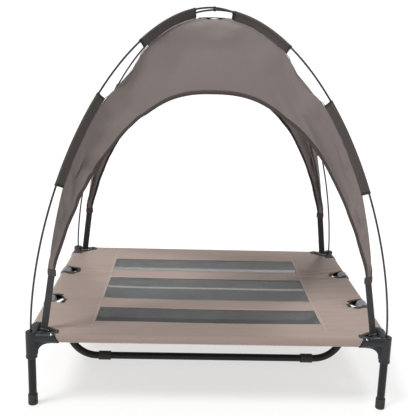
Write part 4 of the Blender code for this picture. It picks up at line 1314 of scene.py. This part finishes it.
# %% Canopy cloth
COLUMNS, ROWS = 46, 18          # columns in half a panel, and rows
canopy = bmesh.new()
cloth_map = canopy.loops.layers.uv.new("cloth")
seam_share = canopy.verts.layers.float.new("seam_share")
hem_mark = canopy.verts.layers.float.new("hem_mark")
panel_areas = []
for facing in ((0, -1), (0, 1), (-1, 0), (1, 0)):
    front_or_rear = facing[1] != 0
    half, other = (HALF_X, HALF_Y) if front_or_rear else (HALF_Y, HALF_X)
    hem = HEMS["long" if front_or_rear else "short"]
    side = facing[1] if front_or_rear else facing[0]
    known, known_faces = set(canopy.verts), set(canopy.faces)
    bmesh.ops.create_grid(canopy, x_segments=2 * COLUMNS, y_segments=ROWS, size=1.0)
    flat_place = {}
    for vert in [v for v in canopy.verts if v not in known]:
        across, row = vert.co.x, round((vert.co.y + 1) / 2 * ROWS)
        top, share = SEAM.spot(abs(across))
        low, _ = hem.spot(abs(across))
        top = Vector((top.x * half / HALF_DIAGONAL, top.y))
        first = min(HEM_WIDTH / max((top - low).length, 1e-6), 0.5)
        lift = 0.0 if row == 0 else first + (1 - first) * (row - 1) / (ROWS - 1)
        spot = low.lerp(top, lift)
        depth = seam_distance(spot.y) * other / HALF_DIAGONAL * side
        x = spot.x * (1 if across >= 0 else -1)
        vert.co = (x, depth, spot.y) if front_or_rear else (depth, x, spot.y)
        vert[seam_share] = share if row == ROWS else -1.0
        vert[hem_mark] = 1.0 if row == 0 else 0.0
        flat_place[vert] = (hem.at[-1] * across, (top - low).length * lift)
    new_faces = [face for face in canopy.faces if face not in known_faces]
    for face in new_faces:
        for loop in face.loops:
            loop[cloth_map].uv = flat_place[loop.vert]
        face.material_index = 1 if sum(v[hem_mark] for v in face.verts) > 1 else 0
    bmesh.ops.recalc_face_normals(canopy, faces=new_faces)
    if sum(face.normal.dot(Vector((*facing, 0.6))) for face in new_faces) < 0:
        bmesh.ops.reverse_faces(canopy, faces=new_faces)
    panel_areas.append(sum(face.calc_area() for face in new_faces))
bmesh.ops.remove_doubles(canopy, verts=canopy.verts, dist=0.05 * MM)
for vert in canopy.verts:
    if vert.co.z < TAIL_Z + FLAT_TAIL:
        near = min(CORNERS, key=lambda name: (cuff_place(name) - vert.co).length)
        vert.co = flattened(near, vert.co)
CANOPY_AREA = sum(face.calc_area() for face in canopy.faces)
print("canopy panels:", [round(area, 3) for area in panel_areas], "m2, together", round(CANOPY_AREA, 3))

# %% [markdown]
# ## Draping the canopy
# On the real canopy only the sleeves and the straps hold the cloth, so only those points are pinned.
# The cloth is cut one or two hundredths too large, as sewn panels are, and gravity and its own
# stiffness do the rest: shallow folds run from each tail up into the panel, and the free edges between
# the sleeves pull in a little. The result is kept within a couple of centimetres of the pattern.

# %% Cloth simulation
LOOSENESS = 0.018
MAX_DRAPE = 22 * MM
FOLD_HEIGHT = 17 * MM
TAUT_TAIL = 200 * MM            # the strap keeps the lower cloth tight
SIM_FRAMES = 36


def pinned(vert):
    share = vert[seam_share]
    held = any(low - 0.01 <= share <= high + 0.01 for low, high in (UPPER_SLEEVE, LOWER_SLEEVE))
    in_tail = 0 <= share <= LOWER_SLEEVE[0]
    return held or in_tail or share > 0.995 or vert.co.z < TAIL_Z + 12 * MM


canopy.verts.ensure_lookup_table()
canopy.verts.index_update()
pins = [vert.index for vert in canopy.verts if pinned(vert)]
corner_seams = {name: [] for name in CORNERS}
for vert in canopy.verts:
    if vert[seam_share] >= 0:
        for name, (side_x, side_y) in CORNERS.items():
            if vert.co.x * side_x > -1e-6 and vert.co.y * side_y > -1e-6:
                corner_seams[name].append(vert.index)
canopy_piece = as_object("canopy_cloth", canopy, [canopy_cloth, canopy_cloth], radians(80))
pattern = [vert.co.copy() for vert in canopy_piece.data.vertices]
held = canopy_piece.vertex_groups.new(name="held")
held.add(pins, 1.0, "REPLACE")
drape = canopy_piece.modifiers.new("drape", "CLOTH")
drape.settings.quality = 8
drape.settings.mass = 0.12
drape.settings.tension_stiffness = drape.settings.compression_stiffness = 25
drape.settings.shear_stiffness = 12
drape.settings.bending_stiffness = 0.25
drape.settings.air_damping = 3
drape.settings.vertex_group_mass = "held"
drape.settings.shrink_min = -LOOSENESS
drape.collision_settings.use_collision = False
for step in range(1, SIM_FRAMES + 1):
    scene.frame_set(step)
baked(canopy_piece)
canopy_piece.vertex_groups.clear()
for vert, start in zip(canopy_piece.data.vertices, pattern):
    move = vert.co - start
    limit = MAX_DRAPE * smooth_step(TAIL_Z, TAIL_Z + TAUT_TAIL, start.z)
    if move.length > limit:
        vert.co = start + move.normalized() * limit


def tension_fold(spot):
    """Height of the folds that run from the low sleeves across the shoulders of each panel."""
    wide, deep = abs(spot.x) / HALF_X, abs(spot.y) / HALF_Y
    along, half = (spot.x, HALF_X) if deep > wide else (spot.y, HALF_Y)
    across = abs(along)
    from_seam = seam_distance(spot.z) * half / HALF_DIAGONAL - across
    window = smooth_step(0.40, 0.50, spot.z) * smooth_step(0.84, 0.68, spot.z)
    window *= smooth_step(0.06, 0.18, across) * smooth_step(0.0, 45 * MM, from_seam)
    shallow, steep = spot.z - 0.45 * across, 0.45 * spot.z + 0.95 * across
    seed = 3.0 * copysign(1, spot.x) + 7.0 * copysign(1, spot.y)
    left = noise.noise(Vector((shallow * 30, across * 5, seed))) if along < 0 else 0.0
    right = noise.noise(Vector((steep * 34, spot.z * 4, seed + 2.0))) if along > 0 else 0.0
    return (left + right) * window * FOLD_HEIGHT


for vert in canopy_piece.data.vertices:
    vert.co += vert.normal * tension_fold(vert.co)
draped = [vert.co.copy() for vert in canopy_piece.data.vertices]
moves = [(here - start).length for here, start in zip(draped, pattern)]
print(f"canopy: {len(pins)} pinned points, moved by up to {max(moves) * 1000:.1f} mm")

# %% [markdown]
# ## Thickness and hem of the canopy
# After draping, a subdivision rounds the folds and a Solidify gives the cloth its thickness. The first
# row of faces is copied off as the hem: folded cloth outside and black tape inside.

# %% Finish the canopy
CANOPY_THICKNESS, HEM_THICKNESS = 0.7 * MM, 2.6 * MM
fine = canopy_piece.modifiers.new("fine", "SUBSURF")
fine.levels = fine.render_levels = 1
fine.boundary_smooth = "PRESERVE_CORNERS"
baked(canopy_piece)
hem_shape = bmesh.new()
hem_shape.from_mesh(canopy_piece.data)
spare = [face for face in hem_shape.faces if face.material_index == 0]
bmesh.ops.delete(hem_shape, geom=spare, context="FACES")
hem_middle = []
hem_uv = hem_shape.loops.layers.uv["cloth"]
for face in hem_shape.faces:
    face.material_index = 0
    runs = [(abs(loop.link_loop_next[hem_uv].uv.x - loop[hem_uv].uv.x), loop.edge) for loop in face.loops]
    edge = max(runs, key=lambda run: run[0])[1]
    line = edge.verts[1].co - edge.verts[0].co
    if line.length > 1 * MM:
        hem_middle.append((face.calc_center_median(), face.normal.copy(), line.normalized(), line.length))
hem_piece = as_object("canopy_hem", hem_shape, [hem_cloth, binding], radians(80))
fold = thicken(hem_piece, HEM_THICKNESS)
fold.material_offset = fold.material_offset_rim = 1
thicken(canopy_piece, CANOPY_THICKNESS)
panels = [f"canopy_panel_{side}" for side in ("front", "rear", "left", "right")]
mount(baked(canopy_piece), "canopy", "grey_canopy_cloth", *panels)
mount(baked(hem_piece), "canopy", "grey_canopy_cloth")
CANOPY_AREA * (1 + LOOSENESS) ** 2
print("canopy:", len(canopy_piece.data.polygons), "faces, hem:", len(hem_piece.data.polygons), "faces")

# %% [markdown]
# ## Stitches
# A line of stitches is what tells sewn cloth from painted cloth. Each stitch is a small spindle of
# thread, pressed half into the cloth. The hem has a stitch on every face of its two rows, so its double
# line follows each fold. On the deck the lines run beside the seams, at the height of the cloth there.


# %% Stitches
STITCH, STITCH_PITCH = 3.1 * MM, 4.2 * MM
ON_CLOTH, ON_HEM = 0.6 * MM, 0.95 * MM      # lift of the thread from the middle of the cloth


def add_stitch(shape, spot, along, up, length, width):
    """A spindle with six corners."""
    across, swell = along.cross(up).normalized() * width / 2, up * width * 0.6
    ends = [shape.verts.new(spot + along * length / 2 * way) for way in (-1, 1)]
    ring = [shape.verts.new(spot + offset) for offset in (across, swell, -across, -swell)]
    for i in range(4):
        shape.faces.new((ends[0], ring[i], ring[(i + 1) % 4]))
        shape.faces.new((ends[1], ring[(i + 1) % 4], ring[i]))


def stitch_row(shape, start, end, lift):
    """Stitches between two points of the plan, each laid at the height of the cloth."""
    start, end = Vector((*start, 0)), Vector((*end, 0))
    along, count = (end - start).normalized(), round((end - start).length / STITCH_PITCH)
    for i in range(count):
        spot = start.lerp(end, (i + 0.5) / count)
        low, high = (deck_height(*(spot + along * STITCH / 2 * way).xy) + lift for way in (-1, 1))
        spot.z = (low + high) / 2
        add_stitch(shape, spot, (along * STITCH + Z * (high - low)).normalized(), Z, STITCH, 0.65 * MM)


hem_stitches = bmesh.new()
for spot, up, along, length in hem_middle:
    add_stitch(hem_stitches, spot + up * 1.45 * MM, along, up, min(length * 0.62, 4 * MM), 0.6 * MM)
mount(as_object("hem_stitches", outwards(hem_stitches), thread_dark), "canopy", "grey_canopy_cloth")

deck_stitches = bmesh.new()
side_end, row_gap = HALF_Y - HEM_REACH, 2.2 * MM
for side in (-1, 1):
    for reach in (SIDE_SEAM - row_gap / 2, SIDE_SEAM + row_gap):
        stitch_row(deck_stitches, (side * reach, -side_end), (side * reach, side_end), ON_HEM)
    x, y = HALF_X - HEM_REACH, side * side_end
    stitch_row(deck_stitches, (side * x, -side_end), (side * x, side_end), ON_CLOTH)
    stitch_row(deck_stitches, (-x, y), (x, y), ON_CLOTH)
for low, high in STRIPS.values():
    for y in (low.y - 3 * MM, high.y + 3 * MM):
        stitch_row(deck_stitches, (-SIDE_SEAM, y), (SIDE_SEAM, y), ON_HEM)
print("stitches:", len(hem_middle), "on the hems and", len(deck_stitches.verts) // 6, "on the deck")
mount(as_object("deck_stitches", outwards(deck_stitches), thread_light), "bed", "taupe_cloth")

# %% [markdown]
# ## Sleeves for the rods
# Each corner seam hangs from its rod in two sleeves, one near the crown and one near the foot. A sleeve
# is a strip of cloth folded over the rod: a round pocket, pinched into a flat fin that is sewn to
# the seam. Its cloth is coloured much darker than the canopy's, as painted shade. Its shape is one
# outline, swept along the bow. The ends are bound with tape.

# %% Pole sleeves
POCKET_R, FIN_HALF, FIN_END = 4.1 * MM, 0.9 * MM, SEAM_OFFSET + 1.2 * MM
TAPE_WIDTH = 4.5 * MM


def pocket_outline(grow=0.0):
    """(inwards, sideways) points round a pocket and its fin, in order."""
    fin = ((FIN_END, FIN_HALF), (9 * MM, FIN_HALF), (6 * MM, 1.5 * MM), (4.2 * MM, 2.5 * MM))
    points = [(inwards, across + grow) for inwards, across in fin]
    for i in range(13):
        angle = radians(48 + 264 * i / 12)
        points.append(((POCKET_R + grow) * cos(angle), (POCKET_R + grow) * sin(angle)))
    return points + [(inwards, -across) for inwards, across in reversed(points[:4])]


def swept_pocket(corner, low, high, grow=0.0, steps=26):
    """A pocket's outline swept along a corner's bow, with its ends closed."""
    apex, across = APEX[corner], sideways(corner)
    outline = [Vector(point) for point in pocket_outline(grow)]
    around = Line(outline).at
    rings, run, before = [], 0.0, None
    for i in range(steps + 1):
        share = low + (high - low) * i / steps
        centre, inwards = bow(share, apex), bow_inwards(share, apex)
        run += (centre - before).length if before else 0.0
        before = centre
        ripple = 1 + 0.12 * noise.noise(Vector((share * 40, corner_seed[corner], 0)))
        waver = noise.noise(Vector((share * 55, corner_seed[corner], 4))) * 0.5 * MM
        ring = []
        for (depth, aside), place in zip(outline, around):
            aside = aside * ripple + (waver if depth >= 5 * MM else 0.0)
            ring.append((on_diagonal(corner, centre + inwards * depth) + across * aside, (place, run)))
        rings.append(ring)
    return add_skin(bmesh.new(), rings)


corner_seed = {name: 3.7 * i for i, name in enumerate(CORNERS)}
bow_length = Line([bow(i / 60, UPPER_APEX) for i in range(61)]).at[-1]
tape_share = TAPE_WIDTH / bow_length
for corner in CORNERS:
    for level, (low, high) in (("top", UPPER_SLEEVE), ("low", LOWER_SLEEVE)):
        pocket = swept_pocket(corner, low, high)
        pocket = as_object(f"pole_sleeve_cloth_{level}_{corner}", pocket, sleeve_cloth_painted_shade, radians(50))
        mount(pocket, "canopy", "grey_canopy_cloth", f"pole_sleeve_{level}_{corner}")
        ends = joined(swept_pocket(corner, low - tape_share / 3, low + tape_share, 0.35 * MM, 2),
                      swept_pocket(corner, high - tape_share, high + tape_share / 3, 0.35 * MM, 2))
        ends = as_object(f"sleeve_tape_{level}_{corner}", ends, binding, radians(50))
        mount(ends, "canopy", "black_webbing")
seams = []
for name, chosen in corner_seams.items():
    line = sorted(chosen, key=lambda i: -draped[i].z)
    seams.append(([draped[i] for i in line], False))
mount(piping("canopy_seams", seams, 0.9 * MM, canopy_cloth), "canopy", "grey_canopy_cloth")
print("sleeves: 8, seams:", [len(points) for points, _ in seams])

# %% [markdown]
# ## Straps, keepers and cuffs
# Each tail ends in a folded cuff, with a webbing strap sewn into it. The strap runs down to a steel tee:
# its head lies across the strap's end, and its stem drops through the slot in the corner moulding. All
# three are turned alike, so that the strap's flat side faces the middle of the bed.

# %% Straps, keepers and cuffs
STRAP_WIDTH, STRAP_THICKNESS = 20 * MM, 1.4 * MM
STRAP_FOOT_Z = RAIL_Z + 12.5 * MM
KEEPER_HEAD, KEEPER_STEM = (25 * MM, 4 * MM), (16 * MM, 29.6 * MM)
KEEPER_THICKNESS = 1.6 * MM
CUFF_WIDTH, CUFF_HEIGHT, CUFF_THICKNESS = 24 * MM, 17 * MM, 4.6 * MM
CUFF_DROP = {"front_right": 9 * MM}     # its strap is drawn shorter than the others


def ribbon(start, end, across, width, thickness, steps=30):
    """A flat strap between two points with rounded edges, mapped in metres along its length."""
    along = (end - start).normalized()
    facing = along.cross(across).normalized()
    half, thin = width / 2, thickness / 2
    outline = [(-half, -thin * 0.3), (-half + thin, -thin), (half - thin, -thin), (half, -thin * 0.3),
               (half, thin * 0.3), (half - thin, thin), (-half + thin, thin), (-half, thin * 0.3)]
    rings = []
    for i in range(steps + 1):
        centre, run = start.lerp(end, i / steps), (end - start).length * i / steps
        rings.append([(centre + across * a + facing * b, (a, run)) for a, b in outline])
    return add_skin(bmesh.new(), rings)


for corner, (side_x, side_y) in CORNERS.items():
    across = strap_across(side_x, side_y)
    facing = across.cross(Z).normalized()
    foot = Vector((side_x * (HALF_X - STRAP_FOOT.x), side_y * (HALF_Y - STRAP_FOOT.y), STRAP_FOOT_Z))
    top = cuff_place(corner) - Z * CUFF_DROP.get(corner, 0.0)
    strap = ribbon(foot, top, across, STRAP_WIDTH, STRAP_THICKNESS)
    strap = as_object(f"webbing_strap_{corner}", strap, webbing)
    mount(strap, "canopy", "black_webbing", f"strap_{corner}")
    head = slab(foot - Z * 0.6 * MM, across, *KEEPER_HEAD, KEEPER_THICKNESS, 0.5 * MM)
    stem = slab(foot - Z * 2 * MM, across, *KEEPER_STEM, KEEPER_THICKNESS, 0.3 * MM)
    keeper = as_object(f"steel_keeper_{corner}", joined(head, stem), steel)
    mount(keeper, "canopy", "bright_steel", f"strap_keeper_{corner}")
    cuff_top = cuff_place(corner) + Z * (CUFF_HEIGHT * 0.55 - CUFF_DROP.get(corner, 0.0) * 0.6)
    cuff = slab(cuff_top, across, CUFF_WIDTH, CUFF_HEIGHT, CUFF_THICKNESS, 1.6 * MM)
    mount(as_object(f"tail_cuff_{corner}", cuff, hem_cloth), "canopy", "grey_canopy_cloth")
    rows = bmesh.new()
    for drop in (0.28, 0.72):
        for face_side in (-1, 1):
            for i in range(5):
                spot = cuff_top - Z * CUFF_HEIGHT * drop + across * (i - 2) * STITCH_PITCH
                spot += facing * face_side * CUFF_THICKNESS / 2
                add_stitch(rows, spot, across, facing, STITCH, 0.7 * MM)
    mount(as_object(f"cuff_stitches_{corner}", outwards(rows), thread_dark), "canopy", "grey_canopy_cloth")
print("straps from", round(STRAP_FOOT_Z, 4), "to", round(TAIL_Z, 3))

# %% [markdown]
# ## The tie at the crown
# A short black cord is wound round both rods where they cross, and keeps them from sliding apart. Each
# turn is a loop that passes between the rods' four quarters, one pair of turns each way.

# %% Crown tie
CORD_R, TIE_REACH = 0.8 * MM, 4.6 * MM
crossing = Vector((0, 0, (UPPER_APEX + LOWER_APEX) / 2))
half_height = (UPPER_APEX - LOWER_APEX) / 2 + ROD_R + CORD_R
turns = []
for way, offset in ((X, -0.9 * MM), (X, 0.9 * MM), (Y, -0.9 * MM), (Y, 0.9 * MM)):
    loop, centre = [], crossing + way.cross(Z) * offset
    for angle in (2 * pi * i / 28 for i in range(28)):
        loop.append(centre + way * TIE_REACH * cos(angle) + Z * half_height * sin(angle))
    turns.append((loop, True))
mount(piping("crown_tie", turns, CORD_R, binding, 2), "canopy", "black_webbing")
print("crown tie at", round(crossing.z, 4), "m")

# %% [markdown]
# ## The floor
# The floor is a plain white sheet that glows a little, like paper lit from behind. The bed still casts
# its shadow on it, and far from the bed it melts into the white walls.

# %% Floor
floor_shape = bmesh.new()
bmesh.ops.create_grid(floor_shape, x_segments=1, y_segments=1, size=30.0)
floor_paint = Finish("white_floor", (0.42, 0.42, 0.42), 0.95)
floor_paint.set("Emission Color", (1.0, 1.0, 1.0, 1.0))
floor_paint.set("Emission Strength", 0.62)
floor = as_object("studio_floor", floor_shape, floor_paint)
print("floor laid")
